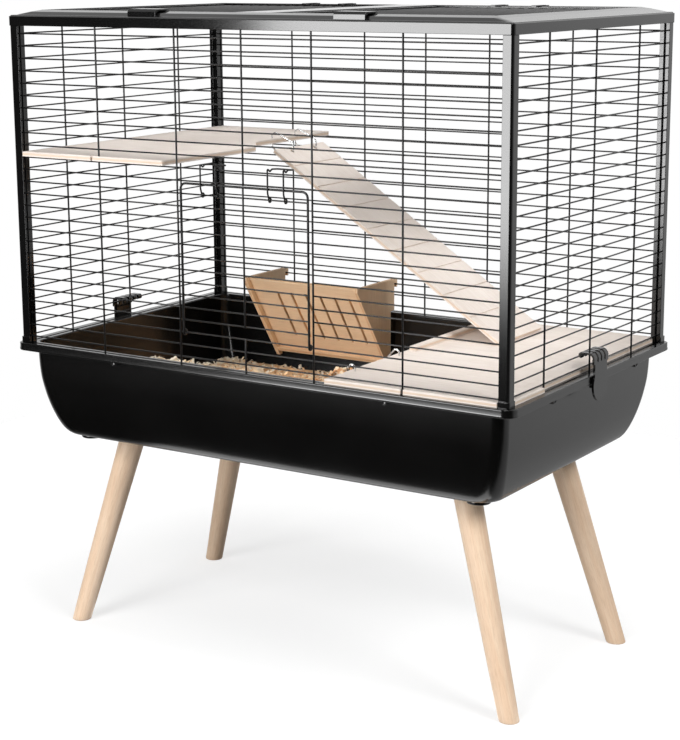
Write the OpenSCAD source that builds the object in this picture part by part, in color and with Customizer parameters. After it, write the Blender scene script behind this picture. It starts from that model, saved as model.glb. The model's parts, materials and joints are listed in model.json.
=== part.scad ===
// Floor-standing cage for small animals: a deep plastic tray on four splayed wooden legs,
// wire panels held by corner posts, a roof with two doors, and wooden furniture inside.
// The origin is on the floor under the middle. +X runs along the long front to the right,
// +Y to the back and +Z up. All sizes are in millimetres.

/* [Tray] */
// Length of the tray over its rim
tray_l = 775; // [740:5:820]
// Depth of the tray over its rim, front to back
tray_d = 475; // [460:5:500]
// Height of the tray from its underside to the top of its rim
tray_h = 133.6; // [125:0.2:145]
// Thickness of the tray's wall and floor
tray_wall = 3; // [2.5:0.1:3.5]
// Height of the rim's outer edge
rim_h = 10.8; // [9.6:0.1:12]
// Thickness of the rim's top and of its outer edge
rim_t = 3; // [2.6:0.1:3.4]
// Corner radius of the rim
rim_r = 16; // [12:1:20]
// Overhang of the rim past the bowl at the two ends
rim_over_x = 19.5; // [19:0.1:20.5]
// Overhang of the rim past the bowl at the front and back
rim_over_y = 15.5; // [15:0.1:16.5]
// How far the bowl draws in towards its foot at the two ends
bowl_in_x = 41; // [38:1:46]
// How far the bowl draws in towards its foot at the front and back
bowl_in_y = 34; // [32:1:38]
// How square the bowl's side is: a higher number makes it more upright
bowl_power = 2.3; // [2.2:0.1:3]
// Corner radius of the bowl at the rim
bowl_r_top = 18; // [16:1:22]
// Corner radius of the bowl at its foot
bowl_r_foot = 30; // [26:1:36]
// Radius of the round pads under the tray
pad_r = 15.5; // [14:0.5:17]
// Height of the round pads under the tray
pad_h = 6; // [5:0.5:9]
// Distance of a pad's middle outwards from a leg's axis along X, at the tray's underside
pad_out_x = 42; // [38:1:44]
// Distance of a pad's middle outwards from a leg's axis along Y, at the tray's underside
pad_out_y = 42; // [36:1:44]
// Radius of the half-round lugs under the rim
lug_r = 5; // [4:0.5:6]
// Distance of the front and back lugs from the middle
lug_x = 212; // [190:2:230]
// Distance of the end lugs from the middle
lug_y = 122; // [100:2:130]

/* [Legs] */
// Height of the tray's underside above the floor
leg_h = 288; // [250:1:330]
// Distance of a foot in from the rim's edge at the end
foot_in_x = 37.1; // [20:0.1:50]
// Distance of a foot in from the rim's edge at the front or back
foot_in_y = 75.8; // [65:0.1:85]
// Distance of a leg's axis at the tray's underside in from the rim's edge at the end
leg_in_x = 120.5; // [114:0.5:130]
// Distance of a leg's axis at the tray's underside in from the rim's edge at the front or back
leg_in_y = 108.5; // [104:0.5:115]
// Radius of a leg at the floor
leg_foot_r = 13; // [11:0.5:15]
// Radius of a leg at its top
leg_top_r = 18; // [16:0.5:19]
// Radius of the seat under the tray that a leg is drawn against
leg_seat_r = 20; // [19.5:0.5:22]
// Radius of a leg bolt
bolt_r = 4; // [3:0.5:5]
// Length of a leg bolt inside the leg
bolt_in = 42; // [30:1:60]
// Radius of the seat for a nut inside the tray
nut_seat_r = 12; // [11:0.5:14]
// Width of a nut across its corners
nut_w = 15; // [13:0.5:16]
// Height of a nut
nut_h = 6.5; // [5:0.5:8]
// Radius of a washer
washer_r = 9; // [8:0.5:10]
// Thickness of a washer
washer_t = 1.6; // [1:0.1:2]

/* [Wire panels] */
// Distance of the end panels' wires in from the rim's edge
panel_in_x = 15; // [14.5:0.1:16]
// Distance of the front and back panels' wires in from the rim's edge
panel_in_y = 11.5; // [11:0.1:12]
// Height of the lowest wire above the rim
row_first = 9.4; // [9:0.1:11]
// Distance between two wires
row_pitch = 16.5; // [15.5:0.1:17.5]
// Number of wires one above the other
row_count = 26; // [20:1:30]
// Height from the top wire to the roof
row_last = 10.3; // [8:0.1:12]
// Radius of the level wires
wire_r = 1; // [0.8:0.05:1.1]
// Radius of the upright wires
upright_r = 1.25; // [1.1:0.05:1.4]
// Distance of the inner uprights from the middle, front and back
upright_x1 = 104; // [100:1:112]
// Distance of the outer uprights from the middle, front and back
upright_x2 = 233; // [222:1:240]
// Distance of the end panels' uprights from the middle
upright_y = 130; // [110:1:140]

/* [Posts] */
// Width of a corner post
post_w = 14; // [13.5:0.5:15]
// Radius of a post's outer corner
post_r = 3.5; // [2:0.5:4]
// How far a post stands outside the end panels' wires
post_out_x = 6.6; // [6:0.1:7]
// How far a post stands outside the front and back panels' wires
post_out_y = 4.65; // [4.4:0.05:5]
// Depth of the channels in a post that hold the wires' ends
channel_d = 5; // [4:0.1:5.4]
// Height of the collar at a post's foot
collar_h = 8; // [5:0.5:12]
// How far a post's collar stands proud
collar_t = 1.3; // [0.8:0.1:1.8]

/* [Front door] */
// Row that the door is hinged on, counted from the lowest wire
door_row = 2; // [1:1:3]
// Row at the top of the doorway
door_top_row = 14; // [12:1:15]
// Half the width of the door between the middles of its side bars
door_x = 98; // [90:0.5:98]
// Radius of the door's outer bar
door_bar_r = 1.5; // [1.3:0.1:1.6]
// Radius of the bend at the door's upper corners
door_bend = 9; // [6:1:14]
// Radius of the latch loops' wire
latch_r = 1.1; // [0.9:0.05:1.2]
// Distance of a latch loop's inner leg from the middle
latch_x = 40; // [36:1:50]
// Width of a latch loop
latch_w = 24; // [18:1:30]
// Reach of a latch loop into the cage, from the panel
latch_reach = 17; // [12:1:22]

/* [Roof] */
// How far the roof's skirt stands outside the posts
roof_over = 1.1; // [0.9:0.1:1.6]
// Height of the roof's skirt
skirt_h = 12.7; // [11:0.1:14]
// Thickness of the roof's skirt
skirt_t = 2.2; // [1.8:0.1:2.3]
// Thickness of the roof's top
roof_t = 2.5; // [2:0.1:3]
// Height of the roof's ledge above its skirt
ledge_h = 1.5; // [1:0.1:2]
// Height of the border round the roof's doors
border_h = 6.5; // [6:0.1:8]
// Width of the border round the roof's doors
border_w = 12; // [10:0.5:14]
// Distance of the border in from the roof's skirt at the two ends
border_in_x = 25; // [20:1:30]
// Distance of the border in from the roof's skirt at the front and back
border_in_y = 15.6; // [14.5:0.1:17]
// Half the width of the bridge between the roof's doors
bridge_x = 27; // [20:1:32]
// Width of the ledge that a roof door lies on
hatch_lip = 10; // [6:1:11]
// Width of a roof door's frame
lid_w = 12; // [11:0.5:14]
// Thickness of a roof door's frame
lid_t = 5; // [4.5:0.1:5.5]
// Distance of a roof door's tab and hinge from the bridge's middle
lid_tab_x = 157; // [140:1:175]
// Width of a roof door's tab
lid_tab_w = 45; // [36:1:50]
// Distance between the two hinges of a roof door
lid_hinge_gap = 63; // [50:1:90]
// Width of a roof hinge's knuckle
knuckle_w = 8; // [6:0.5:10]
// Radius of a roof hinge's knuckle
knuckle_r = 4.2; // [3.8:0.1:4.4]
// Radius of a roof hinge's pin
pin_r = 1.5; // [1.2:0.1:1.8]

/* [Side clips] */
// Width of a side clip
clip_w = 42; // [38:1:48]
// Thickness of a side clip's plate
clip_t = 3; // [2.6:0.1:3.4]
// Row that a side clip hooks over, counted from the lowest wire
clip_row = 1; // [1:1:1]
// Thickness of a side clip's fingers
finger_t = 2.5; // [2.2:0.1:2.8]
// Width of the slots between a side clip's fingers
finger_gap = 4; // [3.6:0.1:5]
// Length of a side clip below the rim's top
clip_drop = 34.6; // [30:0.2:40]

/* [Shelf and ramp] */
// Row that the shelf lies on, counted from the lowest wire
shelf_row = 15; // [12:1:17]
// Thickness of the shelf
shelf_t = 6.5; // [5:0.5:8]
// How far the boards stand out through the front panel
board_out = 4.5; // [4:0.1:4.6]
// Place of the shelf's right edge at the front
shelf_x1 = -126; // [-135:1:-120]
// Place of the shelf's right edge at the back
shelf_x2 = -167; // [-180:1:-160]
// Place of the front end of the slanted step in the shelf's edge
shelf_step_y1 = -22; // [-40:1:-10]
// Place of the back end of the slanted step in the shelf's edge
shelf_step_y2 = 37; // [25:1:45]
// Width of the slots that let the boards pass the uprights
notch_w = 3.6; // [3.4:0.1:4.2]
// Length of the ramp
ramp_l = 437; // [425:1:450]
// Width of the ramp
ramp_w = 125; // [110:1:135]
// Thickness of the ramp
ramp_t = 6; // [5:0.5:7]
// Place of the ramp's front edge
ramp_y = 57; // [52:1:62]
// Gap between the shelf and the ramp
ramp_gap = 19; // [16:1:22]
// Height of the shelf's top above the ramp's top end
ramp_drop = 11.5; // [10:0.5:13]
// Distance of the first groove from the ramp's top end
groove_first = 38; // [25:1:45]
// Distance between two grooves
groove_pitch = 49; // [44:1:55]
// Number of grooves
groove_count = 8; // [5:1:8]
// Width of a groove
groove_w = 2; // [1:0.5:3]
// Depth of a groove
groove_d = 1.5; // [1:0.1:2]
// Radius of the wire of the ramp's rings
ring_r = 1.25; // [1:0.05:1.5]
// Distance of the ramp's rings from its edges
ring_in = 33; // [25:1:40]
// Distance of the ring's holes from the edges of the shelf and the ramp
ring_edge = 9; // [8:0.5:10]
// Angle that the ramp lifts through
ramp_lift = 30; // [20:1:30]

/* [Lower platform] */
// Thickness of the platform
platform_t = 6; // [5:0.5:7]
// Place of the platform's left edge
platform_x = 121; // [110:1:125]
// How far the platform stands past the end panel's wires at its near tab
platform_tab = 4.5; // [4:0.1:5]
// Length of the platform's near tab, from its corner cut
tab_l = 85; // [70:1:85]
// Width of the batten on the platform
batten_w = 10; // [8:0.5:14]
// Height of the batten on the platform
batten_h = 7; // [5:0.5:9]
// Place of the batten's front end
batten_y = -32; // [-50:1:0]
// Length of the batten
batten_l = 200; // [160:1:220]

/* [Lower ramp] */
// Length of the lower ramp, from the platform into the bedding
low_ramp_l = 160; // [155:1:170]
// Width of the lower ramp
low_ramp_w = 129; // [120:1:134]
// Place of the lower ramp's front edge
low_ramp_y = -182; // [-184:1:-178]
// Slope of the lower ramp
low_ramp_a = 38; // [36:0.5:42]
// Gap between the platform and the lower ramp
low_ramp_gap = 3; // [2:0.5:5]
// Height of the platform's top above the lower ramp's top end
low_ramp_drop = 8; // [7:0.5:10]
// Number of grooves in the lower ramp
low_groove_count = 3; // [1:1:3]
// Distance of the lower ramp's rings from its edges
low_ring_in = 10; // [9:0.5:30]

/* [Hay rack] */
// Place of the rack's left side
rack_x = -252; // [-262:1:-245]
// Length of the rack over its sides
rack_l = 203; // [195:1:208]
// Thickness of the rack's sides
rack_side_t = 6; // [5:0.5:7]
// Thickness of the rack's front
rack_front_t = 5; // [4:0.5:6]
// Thickness of the rack's floor
rack_floor_t = 6; // [5:0.5:7]
// Height of the rack
rack_h = 134; // [128:1:136]
// Depth of the rack at its top
rack_d = 104; // [96:1:108]
// Depth of the rack at its foot
rack_foot_d = 7; // [6:0.5:8]
// Gap between the rack's back and the tray's wall at the rim
rack_gap = 7.5; // [7:0.5:8]
// How far the rack's front lies behind the edges of its sides
rack_recess = 8; // [4:0.5:8]
// Row that the rack hangs on, counted from the lowest wire
rack_row = 2; // [2:1:2]
// Number of slots in the rack's front
slot_count = 6; // [4:1:6]
// Distance between two slots
slot_pitch = 25.6; // [20:0.2:27]
// Width of a slot
slot_w = 4; // [3:0.5:6]
// Length of a slot
slot_l = 94; // [80:1:98]
// Distance of the slots from the rack's top edge
slot_top = 22; // [16:1:26]

/* [Bedding] */
// Depth of the bedding where it is flat
bed_flat = 31; // [26:1:34]
// Height of the heap along the front, above the flat bedding
bed_heap = 103; // [80:1:104]
// Width of the heap
bed_heap_w = 60; // [45:1:75]

/* [Hidden] */

// Colours
black_plastic = [0.05, 0.05, 0.055];
black_wire = [0.08, 0.08, 0.085];
leg_wood = [0.91, 0.77, 0.61];
pale_wood = [0.93, 0.83, 0.74];
rack_wood = [0.86, 0.69, 0.5];
steel = [0.7, 0.7, 0.72];
shavings = [0.94, 0.82, 0.62];

// Overshoot of a cut past the face that it opens
over = 1;
// Clearance of a loose fit, such as a curl round a wire
play = 0.3;
// Clearance of a guided fit, such as a wire's end in its channel
guide = 0.2;
// Running clearance of a pin in its hole
run = 0.05;
// How far two crossing wires are pressed into each other by the weld
weld = 0.4;
// Depth of the groove in the rim for the uprights' lower ends
groove_deep = 1.5;

// Places of the legs' feet and of their axes at the tray's underside
leg_foot_x = tray_l / 2 - foot_in_x;
leg_foot_y = tray_d / 2 - foot_in_y;
leg_top_x = tray_l / 2 - leg_in_x;
leg_top_y = tray_d / 2 - leg_in_y;

// Heights
rim_z = leg_h + tray_h;
function row_z(k) = rim_z + row_first + k * row_pitch;
roof_z = row_z(row_count - 1) + row_last;
post_h = roof_z - rim_z;
ledge_z = roof_z + skirt_h + ledge_h;
border_z = ledge_z + border_h;

// Wire planes and post faces, measured from the middle
side_x = tray_l / 2 - panel_in_x;
front_y = tray_d / 2 - panel_in_y;
upright_off = wire_r + upright_r - weld;
post_face_x = side_x + post_out_x;
post_face_y = front_y + post_out_y;
post_in_x = post_face_x - post_w;
post_in_y = post_face_y - post_w;
wire_end_x = post_in_x + channel_d - play;
wire_end_y = post_in_y + channel_d - play;
upright_z = rim_z - groove_deep + play;
upright_top = roof_z + 4;

// Two-way symmetry of the legs, posts and corners
CORNERS = [[-1, -1], [1, -1], [-1, 1], [1, 1]];

function unit(v) = v / norm(v);
function flat(list) = [for (part = list) each part];
function mix(a, b, t) = a + (b - a) * t;

// ---- Solids made of rings of points, and swept wires ----

// Joins rings of points, each counter-clockwise seen from the ring after it
module skin(rings, closed = false) {
    n = len(rings[0]);
    m = len(rings);
    last = closed ? m - 1 : m - 2;
    sides = [for (i = [0 : last], k = [0 : n - 1])
        let (a = i * n + k, b = i * n + (k + 1) % n, up = (i + 1) % m * n)
        each [[a, up + k, up + (k + 1) % n], [a, up + (k + 1) % n, b]]];
    foot = [for (k = [0 : n - 1]) k];
    head = [for (k = [n - 1 : -1 : 0]) (m - 1) * n + k];
    polyhedron(flat(rings), closed ? sides : concat(sides, [foot, head]), convexity = 8);
}

// Rounds the corners of a path, each with a curve that starts and ends reach before it
function bent(path, reach, steps = 4) = [
    path[0],
    for (i = [1 : len(path) - 2])
        let (a = path[i] + unit(path[i - 1] - path[i]) * reach,
             b = path[i] + unit(path[i + 1] - path[i]) * reach)
        for (k = [0 : steps])
            mix(mix(a, path[i], k / steps), mix(path[i], b, k / steps), k / steps),
    path[len(path) - 1]
];

// Rings across a path, kept from twisting by carrying one direction along it
function path_rings(path, r, first, closed, sides = 8) =
    let (m = len(path),
         ahead = [for (i = [0 : m - 1]) unit(closed
             ? path[(i + 1) % m] - path[(i + m - 1) % m]
             : path[min(i + 1, m - 1)] - path[max(i - 1, 0)])],
         across = [for (i = 0, u = first; i < m;
             i = i + 1, u = i < m ? unit(u - ahead[i] * (u * ahead[i])) : u)
             unit(u - ahead[i] * (u * ahead[i]))])
    [for (i = [0 : m - 1])
        [for (k = [0 : sides - 1])
            let (t = 360 * (k + 0.5) / sides)
            path[i] + r * (cos(t) * across[i] + sin(t) * cross(ahead[i], across[i]))]];

// A wire bent along a path; first is a direction that isn't along its start
module bent_wire(path, r, first, closed = false) skin(path_rings(path, r, first, closed), closed);

// Points of the eye at a wire's end, from its tip: it curls up, over and down round
// another wire along X, whose place in Y and Z is c, and leaves it on the front
function eye(x, c, r, turn = 290, steps = 13) = [
    for (i = [steps : -1 : 1])
        let (a = 180 + turn * i / steps, reach = wire_r + play + r)
        [x, c.x + reach * cos(a), c.y + reach * sin(a)]
];

function reversed(list) = [for (i = [len(list) - 1 : -1 : 0]) list[i]];

// A flat outline with four equal round corners, centred
module round_rect(l, d, r) {
    square([l - 2 * r, d], center = true);
    square([l, d - 2 * r], center = true);
    for (c = CORNERS)
        translate([c.x * (l / 2 - r), c.y * (d / 2 - r)])
            circle(r, $fn = 48);
}

// Stands an outline drawn in Y and Z up, with its thickness along X from x
module across_x(x, t) {
    translate([x, 0, 0])
        rotate([90, 0, 90])
            linear_extrude(t)
                children();
}

// Moves a shape drawn in the back right quarter to the quarter that c names
module quarter(c) mirror([1 - c.x, 0, 0]) mirror([0, 1 - c.y, 0]) children();

// ---- Tray ----

// A point of a rounded rectangle: the corners take arc steps and the sides take side steps
function outline_point(j, hx, hy, r, arc, side) =
    let (per = arc + side,
         c = floor(j / per),
         k = j % per,
         corner = function(q, a)
             [(q % 4 == 0 || q % 4 == 3 ? 1 : -1) * (hx - r) + r * cos(a),
              (q % 4 < 2 ? 1 : -1) * (hy - r) + r * sin(a)])
    k <= arc
        ? corner(c, 90 * (c + k / arc))
        : mix(corner(c, 90 * (c + 1)), corner(c + 1, 90 * (c + 1)), (k - arc) / side);

// The bowl's half length, half depth and corner radius, where its side has drawn in by share k
function bowl_size(k, inward) = [
    tray_l / 2 - rim_over_x - inward - bowl_in_x * k,
    tray_d / 2 - rim_over_y - inward - bowl_in_y * k,
    mix(bowl_r_top, bowl_r_foot, k) - inward
];

// Number of facets down the bowl's side
bowl_steps = 9;
// How far down ring i of the bowl's side lies and how far in, as shares of its depth and draw
function bowl_ring(i) = let (t = 90 * i / bowl_steps)
    [pow(sin(t), 2 / bowl_power), 1 - pow(cos(t), 2 / bowl_power)];

// Solid bowl, inward smaller than the tray's outside all round and depth deep
module bowl(inward, depth, lift = 0) {
    skin([for (i = [bowl_steps : -1 : 0])
        let (at = bowl_ring(i),
             size = bowl_size(at[1], inward))
        [for (j = [0 : 35])
            [each outline_point(j, size[0], size[1], size[2], 8, 1),
             rim_z - depth * at[0] + (i == 0 ? lift : 0)]]]);
}

module rim() {
    mid = bowl_size(0, tray_wall / 2);
    difference() {
        translate([0, 0, rim_z - rim_h])
            linear_extrude(rim_h)
                round_rect(tray_l, tray_d, rim_r);
        translate([0, 0, rim_z - rim_h - over])
            linear_extrude(rim_h - rim_t + over)
                round_rect(tray_l - 2 * rim_t, tray_d - 2 * rim_t, rim_r - rim_t);
        translate([0, 0, rim_z - rim_h])
            linear_extrude(rim_h + over)
                round_rect(2 * mid[0], 2 * mid[1], mid[2]);
    }
}

// Groove in the rim's top along the uprights
module rim_groove() {
    w = 2 * (upright_r + 0.75);
    translate([0, 0, rim_z - groove_deep])
        linear_extrude(groove_deep + over)
            difference() {
                square([2 * (side_x + upright_off) + w, 2 * (front_y + upright_off) + w],
                    center = true);
                square([2 * (side_x + upright_off) - w, 2 * (front_y + upright_off) - w],
                    center = true);
            }
}

// Half-round lugs between the rim's edge and the bowl
module lugs() {
    reach = rim_over_x + tray_wall;
    for (s = [-1, 1], t = [-1, 1]) {
        translate([s * lug_x, t * (tray_d / 2 - rim_t / 2), rim_z - rim_h])
            rotate([t * 90, 0, 0])
                cylinder(h = rim_over_y - rim_t / 2 + tray_wall / 2, r = lug_r, $fn = 32);
        translate([s * (tray_l / 2 - rim_t / 2), t * lug_y, rim_z - rim_h])
            rotate([0, -s * 90, 0])
                cylinder(h = reach - rim_t / 2 - tray_wall / 2, r = lug_r, $fn = 32);
    }
}

// ---- Legs and their fixings, all along a leg's axis ----

leg_run = norm([leg_foot_x - leg_top_x, leg_foot_y - leg_top_y, leg_h]);
leg_lean = acos(leg_h / leg_run);
leg_turn = atan2(leg_top_y - leg_foot_y, leg_top_x - leg_foot_x);
// Distances from the floor along the axis
leg_len = (leg_h - 0.5) / cos(leg_lean) - leg_seat_r * tan(leg_lean);
nut_seat = (leg_h + tray_wall + 1) / cos(leg_lean) + nut_seat_r * tan(leg_lean);

// Puts a shape drawn up the Z axis on the axis of the leg in corner c
module on_leg(c, up = 0) {
    quarter(c)
        translate([leg_foot_x, leg_foot_y, 0])
            rotate([0, leg_lean, leg_turn])
                translate([0, 0, up])
                    children();
}

module leg(c) {
    toe = leg_foot_r * tan(leg_lean) + over;
    color(leg_wood)
        difference() {
            on_leg(c, -toe)
                rotate([0, 0, 100])
                    cylinder(h = leg_len + toe, r1 = leg_foot_r, r2 = leg_top_r, $fn = 64);
            translate([c.x * leg_foot_x, c.y * leg_foot_y, -2 * toe])
                cube([4 * leg_foot_r, 4 * leg_foot_r, 4 * toe], center = true);
            on_leg(c, leg_len - bolt_in)
                cylinder(h = bolt_in + over, r = bolt_r + guide, $fn = 32);
        }
}

// Seats of a leg under the tray's floor and of its nut above it
module leg_seat(c) {
    mid_z = leg_h + tray_wall / 2;
    intersection() {
        on_leg(c, leg_len)
            rotate([0, 0, 100])
                cylinder(h = 4 * leg_seat_r, r = leg_seat_r, $fn = 64);
        translate([c.x * leg_top_x, c.y * leg_top_y, mid_z - 50])
            cube(100, center = true);
    }
}

module nut_seat(c) {
    mid_z = leg_h + tray_wall / 2;
    intersection() {
        on_leg(c, leg_len)
            cylinder(h = nut_seat - leg_len, r = nut_seat_r, $fn = 12);
        translate([c.x * leg_top_x, c.y * leg_top_y, mid_z + 50])
            cube(100, center = true);
    }
}

module leg_bolts() {
    color(steel)
        for (c = CORNERS)
            on_leg(c, leg_len - bolt_in + 2)
                cylinder(h = nut_seat + washer_t + nut_h + 3 - leg_len + bolt_in - 2,
                    r = bolt_r, $fn = 32);
}

module leg_washers() {
    color(steel)
        for (c = CORNERS)
            on_leg(c, nut_seat)
                difference() {
                    cylinder(h = washer_t, r = washer_r, $fn = 48);
                    translate([0, 0, -over])
                        cylinder(h = washer_t + 2 * over, r = bolt_r + play, $fn = 32);
                }
}

module leg_nuts() {
    color(steel)
        for (c = CORNERS)
            on_leg(c, nut_seat + washer_t)
                difference() {
                    cylinder(h = nut_h, r = nut_w / 2, $fn = 6);
                    translate([0, 0, -over])
                        cylinder(h = nut_h + 2 * over, r = bolt_r + guide, $fn = 32);
                }
}

module tray() {
    color(black_plastic)
        difference() {
            union() {
                difference() {
                    union() {
                        bowl(0, tray_h);
                        rim();
                        lugs();
                        for (c = CORNERS) {
                            leg_seat(c);
                            translate([c.x * (leg_top_x + pad_out_x),
                                c.y * (leg_top_y + pad_out_y), leg_h - pad_h])
                                cylinder(h = 2 * pad_h, r = pad_r, $fn = 48);
                        }
                    }
                    bowl(tray_wall, tray_h - tray_wall, over);
                }
                for (c = CORNERS) nut_seat(c);
            }
            rim_groove();
            for (c = CORNERS)
                on_leg(c, leg_len - over)
                    cylinder(h = nut_seat - leg_len + 2 * over, r = bolt_r + guide, $fn = 32);
        }
}

// ---- Posts ----

module post(c) {
    slot_w = 2 * (wire_r + guide);
    color(black_plastic)
        quarter(c)
            translate([post_in_x, post_in_y, rim_z]) {
                linear_extrude(post_h)
                    difference() {
                        post_outline(0);
                        translate([-over, front_y - post_in_y - slot_w / 2])
                            square([channel_d + over, slot_w]);
                        translate([side_x - post_in_x - slot_w / 2, -over])
                            square([slot_w, channel_d + over]);
                    }
                linear_extrude(collar_h)
                    difference() {
                        post_outline(collar_t);
                        post_outline(-0.5);
                    }
            }
}

// Square outline with a round outer corner, grown outwards by grow
module post_outline(grow) {
    w = post_w + grow;
    square([w - post_r, w]);
    square([w, w - post_r]);
    translate([w - post_r, w - post_r])
        circle(post_r, $fn = 32);
}

// ---- Wire panels ----

// Level wires along X in rows from..to, at height row_z
module rows_x(x0, x1, y, from, to) {
    for (k = [from : to])
        translate([x0, y, row_z(k)])
            rotate([0, 90, 0])
                cylinder(h = x1 - x0, r = wire_r, $fn = 8);
}

module upright(x, y, z0, z1) translate([x, y, z0]) cylinder(h = z1 - z0, r = upright_r, $fn = 8);

module back_grille() {
    color(black_wire) {
        rows_x(-wire_end_x, wire_end_x, front_y, 0, row_count - 1);
        for (x = [-upright_x2, -upright_x1, 0, upright_x1, upright_x2])
            upright(x, front_y + upright_off, upright_z, upright_top);
    }
}

module end_grille(s) {
    color(black_wire) {
        for (k = [0 : row_count - 1])
            translate([s * side_x, -wire_end_y, row_z(k)])
                rotate([-90, 0, 0])
                    cylinder(h = 2 * wire_end_y, r = wire_r, $fn = 8);
        for (y = [-upright_y, 0, upright_y])
            upright(s * (side_x + upright_off), y, upright_z, upright_top);
    }
}

// The front panel is welded in one. It is drawn in four pieces that meet face to face
// round the doorway: the two sides, and the pieces above and below the doorway.
doorway_x = upright_x1 - 2;

module front_side(s) {
    color(black_wire)
        mirror([1 - s, 0, 0]) {
            rows_x(doorway_x, wire_end_x, -front_y, 0, row_count - 1);
            for (x = [upright_x1, upright_x2])
                upright(x, -front_y - upright_off, upright_z, upright_top);
        }
}

module front_grille_top() {
    color(black_wire) {
        rows_x(-doorway_x, doorway_x, -front_y, door_top_row, row_count - 1);
        upright(0, -front_y - upright_off, row_z(door_top_row) - wire_r, upright_top);
    }
}

module front_grille_bottom() {
    color(black_wire) {
        rows_x(-doorway_x, doorway_x, -front_y, 0, door_row);
        upright(0, -front_y - upright_off, upright_z, row_z(door_row) + wire_r);
    }
}

// ---- Front door and its latches ----

door_bar_y = -front_y - wire_r - play - door_bar_r;
door_wire_y = door_bar_y + door_bar_r + wire_r - weld;
door_top_z = row_z(door_top_row) - wire_r - play - door_bar_r;

module front_door() {
    side_z = row_z(door_row);
    hinge = [-front_y, side_z];
    frame = bent([[-door_x, door_bar_y, side_z], [-door_x, door_bar_y, door_top_z],
        [door_x, door_bar_y, door_top_z], [door_x, door_bar_y, side_z]], door_bend);
    color(black_wire) {
        bent_wire(
            concat(eye(-door_x, hinge, door_bar_r), frame,
                reversed(eye(door_x, hinge, door_bar_r))),
            door_bar_r, [1, 0, 0]);
        rows_x(-door_x, door_x, door_wire_y, door_row + 1, door_top_row - 1);
        upright(0, door_wire_y - upright_off, row_z(door_row + 1) - wire_r, door_top_z);
    }
}

latch_row = door_top_row - 1;
latch_leg_y = door_wire_y - wire_r - play - latch_r;
// The loop's legs pass in front of the door's top bar
latch_out_y = door_bar_y - door_bar_r - play - latch_r;
// The loop dips over the panel wire one row above the doorway
latch_dip_z = row_z(door_top_row + 1) + wire_r + play + latch_r;

module door_latch(s) {
    pivot_z = row_z(latch_row);
    pivot_at = [door_wire_y, pivot_z];
    side = [[latch_leg_y, pivot_z], [latch_leg_y, pivot_z + 2],
        [latch_out_y, pivot_z + 9], [latch_out_y, latch_dip_z + 3.2],
        [-front_y - 3, latch_dip_z + 3], [-front_y, latch_dip_z], [-front_y + 4, latch_dip_z + 3],
        [-front_y + latch_reach, latch_dip_z + 2]];
    x0 = s * latch_x;
    x1 = s * (latch_x + latch_w);
    loop = bent([for (p = side) [x0, p.x, p.y], for (p = reversed(side)) [x1, p.x, p.y]],
        1.9, 3);
    color(black_wire)
        bent_wire(
            concat(eye(x0, pivot_at, latch_r), loop, reversed(eye(x1, pivot_at, latch_r))),
            latch_r, [s, 0, 0]);
}

// ---- Roof ----

roof_l = 2 * (post_face_x + roof_over);
roof_d = 2 * (post_face_y + roof_over);
roof_r = post_r + roof_over;
border_x = roof_l / 2 - border_in_x;
border_y = roof_d / 2 - border_in_y;
// Recess that a roof door lies in, and the hatch through the roof inside it
recess_x = border_x - border_w;
recess_y = border_y - border_w;
lid_y = recess_y - play;
lid_z = ledge_z + play;
hinge_y = border_y + knuckle_r + 2;
hinge_z = ledge_z + knuckle_r + 0.6;
lug_w = 4;
lid_hinges = [lid_tab_x - lid_hinge_gap / 2, lid_tab_x + lid_hinge_gap / 2];

module roof_frame() {
    color(black_plastic)
        difference() {
            union() {
                difference() {
                    union() {
                        translate([0, 0, roof_z])
                            linear_extrude(skirt_h)
                                round_rect(roof_l, roof_d, roof_r);
                        translate([0, 0, roof_z + skirt_h])
                            linear_extrude(ledge_h)
                                round_rect(roof_l - 3, roof_d - 3, roof_r - 1);
                        translate([0, 0, ledge_z])
                            linear_extrude(border_h)
                                round_rect(2 * border_x, 2 * border_y, 8);
                    }
                    translate([0, 0, roof_z - over])
                        linear_extrude(ledge_z - roof_t - roof_z + over)
                            round_rect(roof_l - 2 * skirt_t, roof_d - 2 * skirt_t, roof_r - 2);
                    for (s = [-1, 1]) {
                        hatch(s, 0, ledge_z);
                        hatch(s, hatch_lip, roof_z);
                    }
                }
                for (c = CORNERS)
                    quarter(c)
                        translate([post_in_x, post_in_y, roof_z])
                            cube([post_w - over, post_w - over, skirt_h]);
                for (s = [-1, 1], x = lid_hinges, side = [-1, 1])
                    translate([s * x + side * (knuckle_w / 2 + play + lug_w / 2), hinge_y,
                        ledge_z + (hinge_z + knuckle_r - ledge_z) / 2 - 0.5])
                        cube([lug_w, 2 * knuckle_r, hinge_z + knuckle_r - ledge_z + 1],
                            center = true);
            }
            for (s = [-1, 1], x = lid_hinges)
                translate([s * x, hinge_y, hinge_z])
                    rotate([0, 90, 0])
                        cylinder(h = knuckle_w + 4 * lug_w, r = pin_r + run, center = true,
                            $fn = 32);
        }
}

// Cut for a roof door on side s, smaller by lip all round, from z upwards
module hatch(s, lip, z) {
    mirror([1 - s, 0, 0])
        translate([bridge_x + lip, -recess_y + lip, z])
            cube([recess_x - bridge_x - 2 * lip, 2 * (recess_y - lip), border_z - z + over]);
}

module roof_hinge_pins() {
    color(steel)
        for (s = [-1, 1], x = lid_hinges)
            translate([s * x, hinge_y, hinge_z])
                rotate([0, 90, 0])
                    cylinder(h = knuckle_w + 2 * (play + lug_w), r = pin_r, center = true,
                        $fn = 32);
}

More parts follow.
